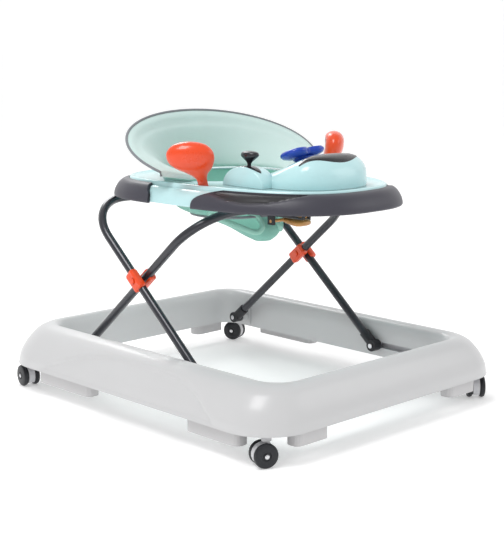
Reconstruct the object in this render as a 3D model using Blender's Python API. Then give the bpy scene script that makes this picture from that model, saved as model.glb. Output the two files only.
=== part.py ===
"""Baby walker: a ring-shaped base on four swivel casters, a scissor frame of two bent tubes, and a
play tray with a padded seat.  Metres, +Z up, floor at z = 0, the child faces -Y, x = 0 is the plane
of symmetry and y = 0 is midway between the front and rear edges of the base."""

from math import asin, cos, pi, radians, sin

import bmesh
import bpy
from mathutils import Matrix, Vector

GAP = 0.0003                 # clearance between pieces that touch
ROUND = 18                   # sides of a bored or turned piece

# base ring
BASE_WIDTH = 0.644
BASE_LENGTH = 0.748
BASE_CORNER = 0.090          # corner radius of the outer lip, seen from above
INNER_CORNER = 0.040
BASE_LIP_Z = 0.053
BASE_CREST_Z = 0.126
SIDE_BAND = 0.0875           # outer lip to inner wall, at the sides
END_BAND = 0.060             # the same at front and rear
BASE_WALL = 0.003
SOCKET_TOP_Z = 0.086

# casters
CASTER_INSET_X = 0.039       # outer lip to the stem, at the sides
CASTER_INSET_Y = 0.040       # the same at front and rear
WHEEL_RADIUS = 0.021
WHEEL_WIDTH = 0.010
WHEEL_SPREAD = 0.0118        # fork centre to wheel centre
CASTER_TRAIL = 0.005
STEM_RADIUS = 0.004
AXLE_RADIUS = 0.002

# stop pads
PAD_BOTTOM_Z = 0.028
PAD_WIDTH = 0.030
PAD_INSET = 0.010            # outer lip to the pad's outer face

# scissor frame
LEG_ANGLE = radians(41.0)
LOWER_ARM = 0.252            # foot to crossing point
UPPER_ARM = 0.201            # crossing point to crossbar
CROSSING_Y = 0.0625
FOOT_Z = 0.0765
TUBE_RADIUS = 0.008
TUBE_WALL = 0.0014
BEND_RADIUS = 0.092
LEG_CLEARANCE = 0.003        # outer tube to the base's inner wall
TUBE_SPACING = 0.0015        # between the two tubes where they cross
FOOT_WALL = 0.0022
FOOT_LENGTH = 0.034
PIN_RADIUS = 0.003
ROLLER_RADIUS = 0.0056
FOLD_TRAVEL = radians(28.0)  # leg angle lost when the walker is folded flat
RAISE_TRAVEL = radians(3.0)

# tray
TRAY_WIDTH = 0.410
TRAY_FRONT_Y = -0.312
TRAY_REAR_Y = 0.250
TRAY_WIDEST_Y = 0.060
TRAY_POWER = 2.7             # roundness of the outline, 2 is an ellipse
LIP_HEIGHT = 0.0100          # crossbar centre to the bumper's lower lip
DECK_HEIGHT = 0.0355         # bumper's lower lip to the deck's top
TRAY_WALL = 0.003
OPENING_WIDTH = 0.256
OPENING_LENGTH = 0.214
OPENING_Y = 0.0635
COLLAR_DROP = 0.0215
BUMPER_FRONT_END_Y = -0.060
BUMPER_REAR_END_Y = 0.053

# toys
HOOD_WIDTH = 0.190
HOOD_LENGTH = 0.200
HOOD_Y = -0.1545
HOOD_HEIGHT = 0.056
WHEEL_Y = -0.140
HUB_DROP = 0.0015            # hood's full height down to the steering wheel's centre
STEER_TILT = radians(20.0)
LEVER_X = -0.100
LEVER_Y = -0.105
HUMP_LENGTH = 0.103
HUMP_HEIGHT = 0.0355
HUMP_WIDTH = 0.036
MIRROR_X = 0.157
MIRROR_Y = -0.047

# height latch under the front crossbar
LATCH_Y = -0.108
LATCH_DROP = 0.0225          # crossbar centre to the latch's pivot
LATCH_REACH = 0.074
SHAFT_RADIUS = 0.003

# seat
BACK_WIDTH = 0.452           # across the flared rim
BACK_REACH = 0.117           # rim centre to its rearmost point
BACK_MID_HEIGHT = 0.0495     # rim at its widest, above the deck
BACK_RISE = 0.069            # how much higher the rear of the rim is
BACK_THICKNESS = 0.014
BACK_SWEEP = 116.0           # degrees each side of the rear centre
SLING_DEPTH = 0.115
SLING_WALL = 0.005

# sizes that follow
HALF_WIDTH = BASE_WIDTH / 2
HALF_LENGTH = BASE_LENGTH / 2
CASTER_X = HALF_WIDTH - CASTER_INSET_X
CASTER_Y = HALF_LENGTH - CASTER_INSET_Y
WHEEL_HEIGHT = HOOD_HEIGHT - HUB_DROP
INNER_WALL_X = HALF_WIDTH - SIDE_BAND
OUTER_LEG_X = INNER_WALL_X - LEG_CLEARANCE - TUBE_RADIUS
INNER_LEG_X = OUTER_LEG_X - 2 * TUBE_RADIUS - TUBE_SPACING
LEG_LENGTH = LOWER_ARM + UPPER_ARM
REAR_FOOT_Y = CROSSING_Y + LOWER_ARM * cos(LEG_ANGLE)
FRONT_FOOT_Y = CROSSING_Y - LOWER_ARM * cos(LEG_ANGLE)
CROSSING_Z = FOOT_Z + LOWER_ARM * sin(LEG_ANGLE)
BAR_Z = FOOT_Z + LEG_LENGTH * sin(LEG_ANGLE)
FRONT_BAR_Y = REAR_FOOT_Y - LEG_LENGTH * cos(LEG_ANGLE)
REAR_BAR_Y = FRONT_FOOT_Y + LEG_LENGTH * cos(LEG_ANGLE)
SLIDE_FRONT_Y = REAR_FOOT_Y - 2 * LOWER_ARM * cos(LEG_ANGLE - FOLD_TRAVEL)
SLIDE_REAR_Y = REAR_FOOT_Y - 2 * LOWER_ARM * cos(LEG_ANGLE + RAISE_TRAVEL)
TRAY_LIP_Z = BAR_Z + LIP_HEIGHT
DECK_Z = TRAY_LIP_Z + DECK_HEIGHT
DECK_UNDER_Z = DECK_Z - TRAY_WALL
SLEEVE_RADIUS = TUBE_RADIUS + FOOT_WALL
SIDES = (("left", -1), ("right", 1))

# the base's section from outer lip to inner wall: share of the band, share of the height
BASE_SECTION = [(0.0, 0.0), (0.05, 0.26), (0.16, 0.51), (0.29, 0.70), (0.42, 0.85), (0.60, 0.96),
                (0.77, 1.0), (0.90, 0.95), (0.97, 0.82), (1.0, 0.62), (1.0, 0.0)]

# caster: name, side, end, direction of its axle in degrees from +X
CASTERS = [("front_left", -1, -1, 66.0), ("front_right", 1, -1, -44.0),
           ("rear_left", -1, 1, -11.0), ("rear_right", 1, 1, 22.0)]

# stop pad: name, centre, length, and the axis that it runs along
SIDE_PADS = [("front", -0.231, 0.128), ("rear", 0.182, 0.160)]
END_PAD_X = 0.203
END_PAD_LENGTH = 0.078

MATERIALS = {
    "shell_grey": ((0.78, 0.78, 0.79), 0.38, 0.0),
    "pad_grey": ((0.70, 0.69, 0.71), 0.75, 0.0),
    "wheel_black": ((0.015, 0.016, 0.02), 0.45, 0.0),
    "fork_grey": ((0.74, 0.74, 0.75), 0.45, 0.0),
    "bright_steel": ((0.75, 0.75, 0.76), 0.25, 1.0),
    "tube_charcoal": ((0.03, 0.032, 0.038), 0.30, 0.6),
    "fitting_black": ((0.02, 0.02, 0.025), 0.50, 0.0),
    "clip_orange": ((0.80, 0.10, 0.03), 0.40, 0.0),
    "tray_mint": ((0.55, 0.80, 0.80), 0.25, 0.0),
    "bumper_anthracite": ((0.085, 0.085, 0.10), 0.42, 0.0),
    "toy_blue": ((0.01, 0.07, 0.42), 0.30, 0.0),
    "toy_dark": ((0.03, 0.032, 0.038), 0.40, 0.0),
    "latch_amber": ((0.72, 0.35, 0.12), 0.40, 0.0),
    "seat_fabric": ((0.60, 0.80, 0.78), 0.85, 0.0),
}


def clear_scene():
    for obj in list(bpy.data.objects):
        bpy.data.objects.remove(obj, do_unlink=True)


def material(name):
    found = bpy.data.materials.get(name)
    if found:
        return found
    colour, roughness, metallic = MATERIALS[name]
    made = bpy.data.materials.new(name)
    made.use_nodes = True
    shader = made.node_tree.nodes["Principled BSDF"]
    shader.inputs["Base Color"].default_value = (*colour, 1.0)
    shader.inputs["Roughness"].default_value = roughness
    shader.inputs["Metallic"].default_value = metallic
    return made


def finish(shape, name, finish_name, origin=(0, 0, 0), parent=None, smooth=40.0):
    """Makes an object of a bmesh.  origin is the point, in the shape's own space, that becomes the
    object's origin."""
    shape.normal_update()
    bmesh.ops.recalc_face_normals(shape, faces=shape.faces)
    if shape.calc_volume(signed=True) < 0:
        bmesh.ops.reverse_faces(shape, faces=shape.faces)
    mesh = bpy.data.meshes.new(name)
    shape.to_mesh(mesh)
    shape.free()
    mesh.transform(Matrix.Translation(-Vector(origin)))
    mesh.materials.append(material(finish_name))
    mesh.shade_smooth()
    mesh.set_sharp_from_angle(angle=radians(smooth))
    obj = bpy.data.objects.new(name, mesh)
    obj.location = origin
    bpy.context.scene.collection.objects.link(obj)
    if parent:
        obj.parent = parent
    return obj


def guide(shape, name, origin=(0, 0, 0)):
    """A cutter or an added block: used by a Boolean and left out of the model."""
    obj = finish(shape, name, "fitting_black", origin)
    obj.hide_render = True
    obj.display_type = "WIRE"
    return obj


def boolean(obj, other, operation):
    modifier = obj.modifiers.new(operation.lower(), "BOOLEAN")
    modifier.operation = operation
    modifier.solver = "EXACT"
    modifier.object = other


def loft(rings, closed=False):
    """Skins a row of equal rings of points.  closed joins the last ring to the first, as on a hollow
    tube; otherwise both ends get a cap."""
    shape = bmesh.new()
    rows = [[shape.verts.new(point) for point in ring] for ring in rings]
    count = len(rows[0])
    pairs = list(zip(rows, rows[1:]))
    if closed:
        pairs.append((rows[-1], rows[0]))
    for low, high in pairs:
        for index in range(count):
            after = (index + 1) % count
            shape.faces.new((low[index], low[after], high[after], high[index]))
    if not closed:
        shape.faces.new(reversed(rows[0]))
        shape.faces.new(rows[-1])
    return shape


def box(size, centre, bevel=0.0, segments=1):
    shape = bmesh.new()
    bmesh.ops.create_cube(shape, size=1.0)
    bmesh.ops.scale(shape, vec=size, verts=shape.verts)
    if bevel:
        bmesh.ops.bevel(shape, geom=shape.edges[:], offset=bevel, segments=segments, profile=0.5,
                        affect="EDGES", material=-1)
    bmesh.ops.translate(shape, vec=centre, verts=shape.verts)
    return shape


def rod(radius, start, end, sides=ROUND, end_radius=None):
    """A cylinder or a cone from start to end."""
    start, end = Vector(start), Vector(end)
    along = end - start
    shape = bmesh.new()
    bmesh.ops.create_cone(shape, cap_ends=True, segments=sides, radius1=radius,
                          radius2=radius if end_radius is None else end_radius, depth=along.length)
    turn = along.to_track_quat("Z", "Y").to_matrix().to_4x4()
    shape.transform(Matrix.Translation((start + end) / 2) @ turn)
    return shape


def turned(profile, sides):
    """Turns a closed (radius, height) outline about local X: a ring when no radius is zero."""
    rings = []
    for step in range(sides):
        angle = 2 * pi * step / sides
        rings.append([(height, radius * cos(angle), radius * sin(angle)) for radius, height in profile])
    return loft(rings, closed=True)


def stepped_pin(steps, side, y, z, sides=16):
    """A pin along X made of (x start, x end, radius) steps that join end to end."""
    rings = []
    for start, end, radius in steps:
        for x in (start, end):
            rings.append([(side * x, y + radius * cos(2 * pi * k / sides),
                           z + radius * sin(2 * pi * k / sides)) for k in range(sides)])
    return loft(rings)


# ------------------------------------------------------------------ base

def rounded_loop(half_x, half_y, radius, z, steps=6):
    points = []
    for centre_x, centre_y, start in ((1, 1, 0), (-1, 1, 90), (-1, -1, 180), (1, -1, 270)):
        for step in range(steps + 1):
            angle = radians(start + 90 * step / steps)
            points.append((centre_x * (half_x - radius) + radius * cos(angle),
                           centre_y * (half_y - radius) + radius * sin(angle), z))
    return points


def base_section(offset=0.0):
    """(inset, z) points of the base's outer face at the sides, moved inwards by offset."""
    height = BASE_CREST_Z - BASE_LIP_Z
    points = [Vector((share * SIDE_BAND, BASE_LIP_Z + rise * height)) for share, rise in BASE_SECTION]
    if not offset:
        return points
    moved = []
    for index, point in enumerate(points):
        before = points[max(index - 1, 0)]
        after = points[min(index + 1, len(points) - 1)]
        along = (after - before).normalized()
        moved.append(point + offset * Vector((along.y, -along.x)))
    moved[0].y = moved[-1].y = BASE_LIP_Z
    return moved


def base_loop(inset, z):
    share = inset / SIDE_BAND
    radius = BASE_CORNER + (INNER_CORNER - BASE_CORNER) * share
    return rounded_loop(HALF_WIDTH - inset, HALF_LENGTH - share * END_BAND, radius, z)


def shell_underside(inset):
    """Height of the shell's underside at an inset from the outer lip."""
    points = base_section(BASE_WALL)
    for low, high in zip(points, points[1:]):
        if low.x <= inset <= high.x:
            return low.y + (high.y - low.y) * (inset - low.x) / (high.x - low.x)
    return BASE_CREST_Z - BASE_WALL


def caster_place(side, end):
    return Vector((side * CASTER_X, end * CASTER_Y, 0))


def make_base():
    section = base_section() + list(reversed(base_section(BASE_WALL)))
    base = finish(loft([base_loop(point.x, point.y) for point in section], closed=True),
                  "base_shell", "shell_grey")
    for name, side, end, _ in CASTERS:
        x, y, _ = caster_place(side, end)
        boss = rod(STEM_RADIUS + 0.005, (x, y, BASE_LIP_Z + 0.001), (x, y, SOCKET_TOP_Z), 16)
        boolean(base, guide(boss, f"socket_{name}"), "UNION")
        bore = rod(STEM_RADIUS + GAP, (x, y, BASE_LIP_Z), (x, y, SOCKET_TOP_Z - 0.004))
        boolean(base, guide(bore, f"socket_bore_{name}"), "DIFFERENCE")
    for name, side in SIDES:
        middle = (SLIDE_FRONT_Y + SLIDE_REAR_Y) / 2
        size = (4 * BASE_WALL, slot_length(), slot_height())
        slot = box(size, (side * INNER_WALL_X, middle, FOOT_Z))
        boolean(base, guide(slot, f"slot_{name}"), "DIFFERENCE")


def slot_length():
    return SLIDE_REAR_Y - SLIDE_FRONT_Y + 2 * (ROLLER_RADIUS + 0.0008)


def slot_height():
    return 2 * (ROLLER_RADIUS + 0.0004)


def make_slide_rail(name, side):
    """The channel behind the slot in the inner wall, which the front foot's roller runs in."""
    inner = INNER_WALL_X + BASE_WALL + GAP
    depth = 0.0125
    middle = (SLIDE_FRONT_Y + SLIDE_REAR_Y) / 2
    body = box((depth, slot_length() + 0.008, slot_height() + 0.008),
               (side * (inner + depth / 2), middle, FOOT_Z))
    rail = finish(body, f"slide_rail_{name}", "fitting_black")
    pocket = box((depth, slot_length(), slot_height()), (side * (inner + depth / 2 - 0.003), middle, FOOT_Z))
    boolean(rail, guide(pocket, f"rail_pocket_{name}"), "DIFFERENCE")


def make_stop_pad(name, centre, size):
    shape = box(size, centre)
    edges = [edge for edge in shape.edges
             if abs(edge.verts[0].co.z - edge.verts[1].co.z) > size[2] / 2]
    bmesh.ops.bevel(shape, geom=edges, offset=0.4 * PAD_WIDTH, segments=4, profile=0.5,
                    affect="EDGES", material=-1)
    finish(shape, name, "pad_grey", centre)


def make_stop_pads():
    top = shell_underside(PAD_INSET) - GAP
    middle_z = (PAD_BOTTOM_Z + top) / 2
    height = top - PAD_BOTTOM_Z
    for name, side in SIDES:
        x = side * (HALF_WIDTH - PAD_INSET - PAD_WIDTH / 2)
        for place, y, length in SIDE_PADS:
            make_stop_pad(f"stop_pad_{name}_{place}", (x, y, middle_z), (PAD_WIDTH, length, height))
    for place, end in (("front", -1), ("rear", 1)):
        y = end * (HALF_LENGTH - PAD_INSET - PAD_WIDTH / 2)
        for name, side in SIDES:
            make_stop_pad(f"stop_pad_{place}_{name}", (side * END_PAD_X, y, middle_z),
                          (END_PAD_LENGTH, PAD_WIDTH, height))


# --------------------------------------------------------------- casters

def make_yoke(name, parent):
    """The body between the two wheels, the neck above it and the stem."""
    width = 2 * (WHEEL_SPREAD - WHEEL_WIDTH / 2 - 0.0006)
    centre = Vector((0, CASTER_TRAIL, WHEEL_RADIUS))
    body = rod(WHEEL_RADIUS - 0.0015, centre - Vector((width / 2, 0, 0)),
               centre + Vector((width / 2, 0, 0)))
    yoke = finish(body, f"caster_yoke_{name}", "fork_grey", (0, 0, 0), parent)
    neck = guide(rod(width / 2 - 0.0009, (0, 0, WHEEL_RADIUS), (0, 0, BASE_LIP_Z - 0.002), 16), f"neck_{name}")
    collar = guide(rod(0.0085, (0, 0, 2 * WHEEL_RADIUS + 0.001), (0, 0, BASE_LIP_Z - 0.001), 16),
                   f"collar_{name}")
    stem = guide(rod(STEM_RADIUS, (0, 0, BASE_LIP_Z - 0.006), (0, 0, SOCKET_TOP_Z - 0.007), 16),
                 f"stem_{name}")
    floor_cut = guide(box((0.05, 0.08, 0.014), (0, 0, 0)), f"floor_cut_{name}")
    bore = guide(rod(AXLE_RADIUS + 0.0001, centre - Vector((0.03, 0, 0)),
                     centre + Vector((0.03, 0, 0))), f"axle_bore_{name}")
    for tool, operation in ((neck, "UNION"), (collar, "UNION"), (stem, "UNION"), (floor_cut, "DIFFERENCE"),
                            (bore, "DIFFERENCE")):
        tool.parent = parent
        boolean(yoke, tool, operation)


def wheel_shape():
    half = WHEEL_WIDTH / 2
    bore = AXLE_RADIUS + 0.0001
    outer = WHEEL_RADIUS
    profile = [(bore, -half), (outer - 0.0030, -half), (outer - 0.0006, -half + 0.0018), (outer, 0.0),
               (outer - 0.0006, half - 0.0018), (outer - 0.0030, half), (bore, half)]
    return turned(profile, 20)


def axle_shape():
    """A pin with a domed cap at each end."""
    reach = WHEEL_SPREAD + WHEEL_WIDTH / 2 + GAP
    cap = 0.0040
    steps = [(-reach - 0.0016, -reach - 0.0016, 0.6 * cap), (-reach - 0.0008, -reach, cap),
             (-reach, reach, AXLE_RADIUS), (reach, reach + 0.0008, cap),
             (reach + 0.0016, reach + 0.0016, 0.6 * cap)]
    rings = []
    for start, end, radius in steps:
        for x in sorted({start, end}):
            rings.append([(x, radius * cos(2 * pi * k / 12), radius * sin(2 * pi * k / 12))
                          for k in range(12)])
    return loft(rings)


def make_casters():
    for name, side, end, heading in CASTERS:
        swivel = bpy.data.objects.new(f"swivel_{name}", None)
        swivel.location = caster_place(side, end)
        swivel.rotation_euler = (0, 0, radians(heading))
        bpy.context.scene.collection.objects.link(swivel)
        make_yoke(name, swivel)
        hub = Vector((0, CASTER_TRAIL, WHEEL_RADIUS))
        axle = finish(axle_shape(), f"caster_axle_{name}", "bright_steel", (0, 0, 0), swivel)
        axle.location = hub
        for place, offset in (("a", -WHEEL_SPREAD), ("b", WHEEL_SPREAD)):
            wheel = finish(wheel_shape(), f"caster_wheel_{name}_{place}", "wheel_black", (0, 0, 0),
                           swivel)
            wheel.location = hub + Vector((offset, 0, 0))


# ----------------------------------------------------------- tube frames

def leg_direction(toward):
    """Unit vector up a leg; toward is -1 for the frame that leans forward, 1 for the other."""
    return Vector((0, toward * cos(LEG_ANGLE), sin(LEG_ANGLE)))


def frame_path(half_width, foot_y, toward):
    """Stations of a U-shaped tube, foot to foot: a point and the tube's direction there."""
    up = leg_direction(toward)
    foot = Vector((0, foot_y, FOOT_Z))
    start = 0.0115
    stations = []
    for reach in (start, LOWER_ARM - 0.02, LOWER_ARM + 0.02):
        stations.append((foot + up * reach - Vector((half_width, 0, 0)), up))
    centre = foot + up * (LEG_LENGTH - BEND_RADIUS) - Vector((half_width - BEND_RADIUS, 0, 0))
    steps = 7
    for step in range(steps + 1):
        angle = pi / 2 * step / steps
        across = Vector((1, 0, 0))
        stations.append((centre - across * BEND_RADIUS * cos(angle) + up * BEND_RADIUS * sin(angle),
                         up * cos(angle) + across * sin(angle)))
    mirrored = [(Vector((-point.x, point.y, point.z)), Vector((along.x, -along.y, -along.z)))
                for point, along in reversed(stations)]
    return stations + mirrored


def tube_rings(stations, plane_normal, radius, sides=10):
    rings = []
    for point, along in stations:
        side = plane_normal
        other = along.cross(side).normalized()
        rings.append([point + radius * (side * cos(2 * pi * k / sides) + other * sin(2 * pi * k / sides))
                      for k in range(sides)])
    return rings


def make_frame(name, half_width, foot_y, toward):
    stations = frame_path(half_width, foot_y, toward)
    normal = Vector((1, 0, 0)).cross(leg_direction(toward))
    outer = tube_rings(stations, normal, TUBE_RADIUS)
    inner = tube_rings(stations, normal, TUBE_RADIUS - TUBE_WALL)
    pivot = (0, foot_y, FOOT_Z) if toward < 0 else (0, CROSSING_Y, CROSSING_Z)
    frame = finish(loft(outer + list(reversed(inner)), closed=True), name, "tube_charcoal", pivot)
    hole = guide(rod(PIN_RADIUS + GAP, (-0.3, CROSSING_Y, CROSSING_Z), (0.3, CROSSING_Y, CROSSING_Z), 12),
                 f"{name}_hole")
    boolean(frame, hole, "DIFFERENCE")


def make_foot(name, side, leg_x, foot_y, toward, pivot):
    """The plastic end of a leg: a sleeve over the tube and an eye that the pin goes through."""
    up = leg_direction(toward)
    foot = Vector((side * leg_x, foot_y, FOOT_Z))
    half = Vector((SLEEVE_RADIUS - 0.0006, 0, 0))
    fitting = finish(rod(SLEEVE_RADIUS, foot, foot + up * FOOT_LENGTH), name, "fitting_black", pivot)
    boolean(fitting, guide(rod(SLEEVE_RADIUS + 0.0012, foot - half, foot + half), f"{name}_eye"), "UNION")
    bore = rod(TUBE_RADIUS + GAP, foot + up * 0.0112, foot + up * (FOOT_LENGTH + 0.01))
    boolean(fitting, guide(bore, f"{name}_bore"), "DIFFERENCE")
    reach = Vector((0.02, 0, 0))
    boolean(fitting, guide(rod(PIN_RADIUS + 0.0001, foot - reach, foot + reach, 16), f"{name}_hole"),
            "DIFFERENCE")


def make_feet():
    crossing = (0, CROSSING_Y, CROSSING_Z)
    rear = (0, REAR_FOOT_Y, FOOT_Z)
    boss_start = INNER_LEG_X + SLEEVE_RADIUS + 0.0004
    for name, side in SIDES:
        make_foot(f"rear_foot_{name}", side, INNER_LEG_X, REAR_FOOT_Y, -1, rear)
        make_foot(f"front_foot_{name}", side, OUTER_LEG_X, FRONT_FOOT_Y, 1, crossing)
        make_hinge_bracket(name, side, boss_start)
        head = INNER_LEG_X - SLEEVE_RADIUS
        pin = stepped_pin([(head - 0.0022, head - GAP, 0.0048), (head - GAP, boss_start + 0.012, PIN_RADIUS)],
                          side, REAR_FOOT_Y, FOOT_Z)
        finish(pin, f"rear_foot_pin_{name}", "bright_steel", rear)
        head = OUTER_LEG_X - SLEEVE_RADIUS
        roller = INNER_WALL_X + GAP
        slide_pin = stepped_pin([(head - 0.0022, head - GAP, 0.0048), (head - GAP, roller, PIN_RADIUS),
                                 (roller, roller + BASE_WALL + 0.0085, ROLLER_RADIUS)],
                                side, FRONT_FOOT_Y, FOOT_Z)
        finish(slide_pin, f"slide_pin_{name}", "bright_steel", crossing)


def make_hinge_bracket(name, side, boss_start):
    """Boss and flange on the base's inner wall that the rear foot turns on."""
    wall = INNER_WALL_X - GAP
    flange = box((0.003, 0.034, 0.036), (side * (wall - 0.0015), REAR_FOOT_Y, FOOT_Z), 0.001)
    bracket = finish(flange, f"rear_hinge_bracket_{name}", "fitting_black", (0, REAR_FOOT_Y, FOOT_Z))
    boss = rod(0.0125, (side * boss_start, REAR_FOOT_Y, FOOT_Z),
               (side * (wall - 0.001), REAR_FOOT_Y, FOOT_Z))
    boolean(bracket, guide(boss, f"bracket_boss_{name}"), "UNION")
    bore = rod(PIN_RADIUS + 0.0001, (side * (boss_start - 0.01), REAR_FOOT_Y, FOOT_Z),
               (side * (boss_start + 0.0125), REAR_FOOT_Y, FOOT_Z), 16)
    boolean(bracket, guide(bore, f"bracket_bore_{name}"), "DIFFERENCE")


def make_clip(name, side, leg_x, toward, outward, pivot):
    """Orange saddle around one tube at the crossing; outward is 1 when it opens towards x = 0."""
    centre = Vector((side * leg_x, CROSSING_Y, CROSSING_Z))
    cover = SLEEVE_RADIUS + 0.0016
    depth = cover + 0.004
    shape = box((depth, 0.041, 0.0245), (side * outward * (cover - depth / 2), 0, 0), 0.0045, 2)
    shape.transform(Matrix.Translation(centre) @ Matrix.Rotation(toward * LEG_ANGLE, 4, "X"))
    clip = finish(shape, name, "clip_orange", pivot)
    up = leg_direction(toward)
    bore = rod(TUBE_RADIUS + GAP, centre - up * 0.05, centre + up * 0.05)
    boolean(clip, guide(bore, f"{name}_bore"), "DIFFERENCE")
    reach = Vector((0.03, 0, 0))
    boolean(clip, guide(rod(PIN_RADIUS + GAP, centre - reach, centre + reach, 16), f"{name}_hole"),
            "DIFFERENCE")


def make_crossing():
    pivot = (0, CROSSING_Y, CROSSING_Z)
    rear = (0, REAR_FOOT_Y, FOOT_Z)
    cover = SLEEVE_RADIUS + 0.0016 + GAP
    for name, side in SIDES:
        make_clip(f"inner_clip_{name}", side, INNER_LEG_X, -1, -1, rear)
        make_clip(f"outer_clip_{name}", side, OUTER_LEG_X, 1, 1, pivot)
        start, end = INNER_LEG_X - cover, OUTER_LEG_X + cover
        pin = stepped_pin([(start - 0.0020, start, 0.0058), (start, end, PIN_RADIUS),
                           (end, end + 0.0020, 0.0058)], side, CROSSING_Y, CROSSING_Z)
        finish(pin, f"crossing_pin_{name}", "bright_steel", rear)


# ------------------------------------------------------------------ tray

def rounded_power(value, power):
    return (1 if value >= 0 else -1) * abs(value) ** (2.0 / power)


def tray_point(angle, inset, z):
    """A point of the tray's outline, moved inwards by inset; angle 0 is +X and 90 degrees is +Y."""
    x = (TRAY_WIDTH / 2 - inset) * rounded_power(cos(angle), TRAY_POWER)
    reach = TRAY_REAR_Y - TRAY_WIDEST_Y if sin(angle) > 0 else TRAY_WIDEST_Y - TRAY_FRONT_Y
    y = TRAY_WIDEST_Y + (reach - inset) * rounded_power(sin(angle), TRAY_POWER)
    return Vector((x, y, z))


def opening_point(angle, outset, z):
    return Vector(((OPENING_WIDTH / 2 + outset) * rounded_power(cos(angle), 2.3),
                   OPENING_Y + (OPENING_LENGTH / 2 + outset) * rounded_power(sin(angle), 2.3), z))


TRAY_STEPS = 48
TRAY_ANGLES = [2 * pi * step / TRAY_STEPS for step in range(TRAY_STEPS)]
RIM_INSET = 0.031            # bumper's outer lip to the crest of the mint rim
RIM_WIDTH = 0.006            # the crest to the flat of the deck


def skirt_section():
    """(inset, z) points of the tray's skirt under the bumper, from its lower edge to the rim."""
    height = DECK_Z - TRAY_LIP_Z
    return [(0.0065, TRAY_LIP_Z + 0.002), (0.0085, TRAY_LIP_Z + 0.35 * height),
            (0.0135, TRAY_LIP_Z + 0.62 * height), (0.0200, TRAY_LIP_Z + 0.80 * height),
            (0.0270, TRAY_LIP_Z + 0.86 * height)]


def make_tray():
    rings = [[tray_point(a, inset, z) for a in TRAY_ANGLES] for inset, z in skirt_section()]
    rings.append([tray_point(a, RIM_INSET - 0.0035, DECK_Z + 0.0015) for a in TRAY_ANGLES])
    rings.append([tray_point(a, RIM_INSET, DECK_Z + 0.0028) for a in TRAY_ANGLES])
    rings.append([tray_point(a, RIM_INSET + RIM_WIDTH, DECK_Z) for a in TRAY_ANGLES])
    rings.append([opening_point(a, 0.008, DECK_Z) for a in TRAY_ANGLES])
    rings.append([opening_point(a, 0.002, DECK_Z + 0.0015) for a in TRAY_ANGLES])
    rings.append([opening_point(a, 0.0, DECK_Z - 0.002) for a in TRAY_ANGLES])
    rings.append([opening_point(a, 0.0, DECK_Z - COLLAR_DROP) for a in TRAY_ANGLES])
    rings.append([opening_point(a, TRAY_WALL, DECK_Z - COLLAR_DROP) for a in TRAY_ANGLES])
    rings.append([opening_point(a, TRAY_WALL, DECK_UNDER_Z) for a in TRAY_ANGLES])
    rings.append([tray_point(a, RIM_INSET + RIM_WIDTH, DECK_UNDER_Z) for a in TRAY_ANGLES])
    under = [(inset + TRAY_WALL, z - 0.3 * TRAY_WALL) for inset, z in reversed(skirt_section()[1:])]
    under.append((skirt_section()[0][0] + TRAY_WALL, skirt_section()[0][1]))
    rings += [[tray_point(a, inset, z) for a in TRAY_ANGLES] for inset, z in under]
    finish(loft(rings, closed=True), "tray_top", "tray_mint", (0, REAR_BAR_Y, BAR_Z))


def bumper_angles(limit_y, rear):
    """Angles of the outline's stations from one side to the other, ending where y is limit_y."""
    reach = TRAY_REAR_Y - TRAY_WIDEST_Y if limit_y > TRAY_WIDEST_Y else TRAY_WIDEST_Y - TRAY_FRONT_Y
    share = (limit_y - TRAY_WIDEST_Y) / reach
    edge = rounded_asin(share)
    if rear:
        start, end = edge, pi - edge
    else:
        start, end = pi - edge, 2 * pi + edge
    steps = 22 if rear else 30
    return [start + (end - start) * step / steps for step in range(steps + 1)]


def rounded_asin(share):
    """The angle whose rounded sine is share."""
    size = abs(share) ** (TRAY_POWER / 2.0)
    return asin(size) if share >= 0 else -asin(size)


def make_bumper(name, limit_y, rear):
    height = DECK_Z - TRAY_LIP_Z
    outside = [(0.0012, TRAY_LIP_Z), (0.0, TRAY_LIP_Z + 0.10 * height), (0.0022, TRAY_LIP_Z + 0.38 * height),
               (0.0085, TRAY_LIP_Z + 0.70 * height), (0.0170, TRAY_LIP_Z + 0.90 * height),
               (0.0262, TRAY_LIP_Z + 0.97 * height)]
    inside = [(inset - 0.0009, z + 0.0005) for inset, z in reversed(skirt_section())]
    inside[-1] = (inside[-1][0], TRAY_LIP_Z)
    section = outside + inside
    rings = [[tray_point(a, inset, z) for inset, z in section] for a in bumper_angles(limit_y, rear)]
    finish(loft(rings), name, "bumper_anthracite", (0, REAR_BAR_Y, BAR_Z))


def make_hinge_clamp():
    """Block under the rear of the tray that holds the rear crossbar."""
    half = TUBE_RADIUS + 0.0040
    top = DECK_UNDER_Z - GAP
    origin = (0, REAR_BAR_Y, BAR_Z)
    shape = box((0.110, 2 * half, 2 * half), (0, REAR_BAR_Y, BAR_Z), 0.002)
    clamp = finish(shape, "tray_hinge_clamp", "fitting_black", origin)
    arm = box((0.106, 0.018, top - BAR_Z), (0, REAR_BAR_Y - 0.0145, (top + BAR_Z) / 2))
    boolean(clamp, guide(arm, "clamp_arm"), "UNION")
    bore = rod(TUBE_RADIUS + GAP, (-0.1, REAR_BAR_Y, BAR_Z), (0.1, REAR_BAR_Y, BAR_Z))
    boolean(clamp, guide(bore, "clamp_bore"), "DIFFERENCE")


def tray_relative_bar_y(angle):
    """Where the front crossbar lies in the tray's own space when the legs stand at this angle."""
    bar = REAR_FOOT_Y - LEG_LENGTH * cos(angle)
    tray_shift = (REAR_FOOT_Y - 2 * LOWER_ARM * cos(angle) + LEG_LENGTH * cos(angle)) - REAR_BAR_Y
    return bar - tray_shift


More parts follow.
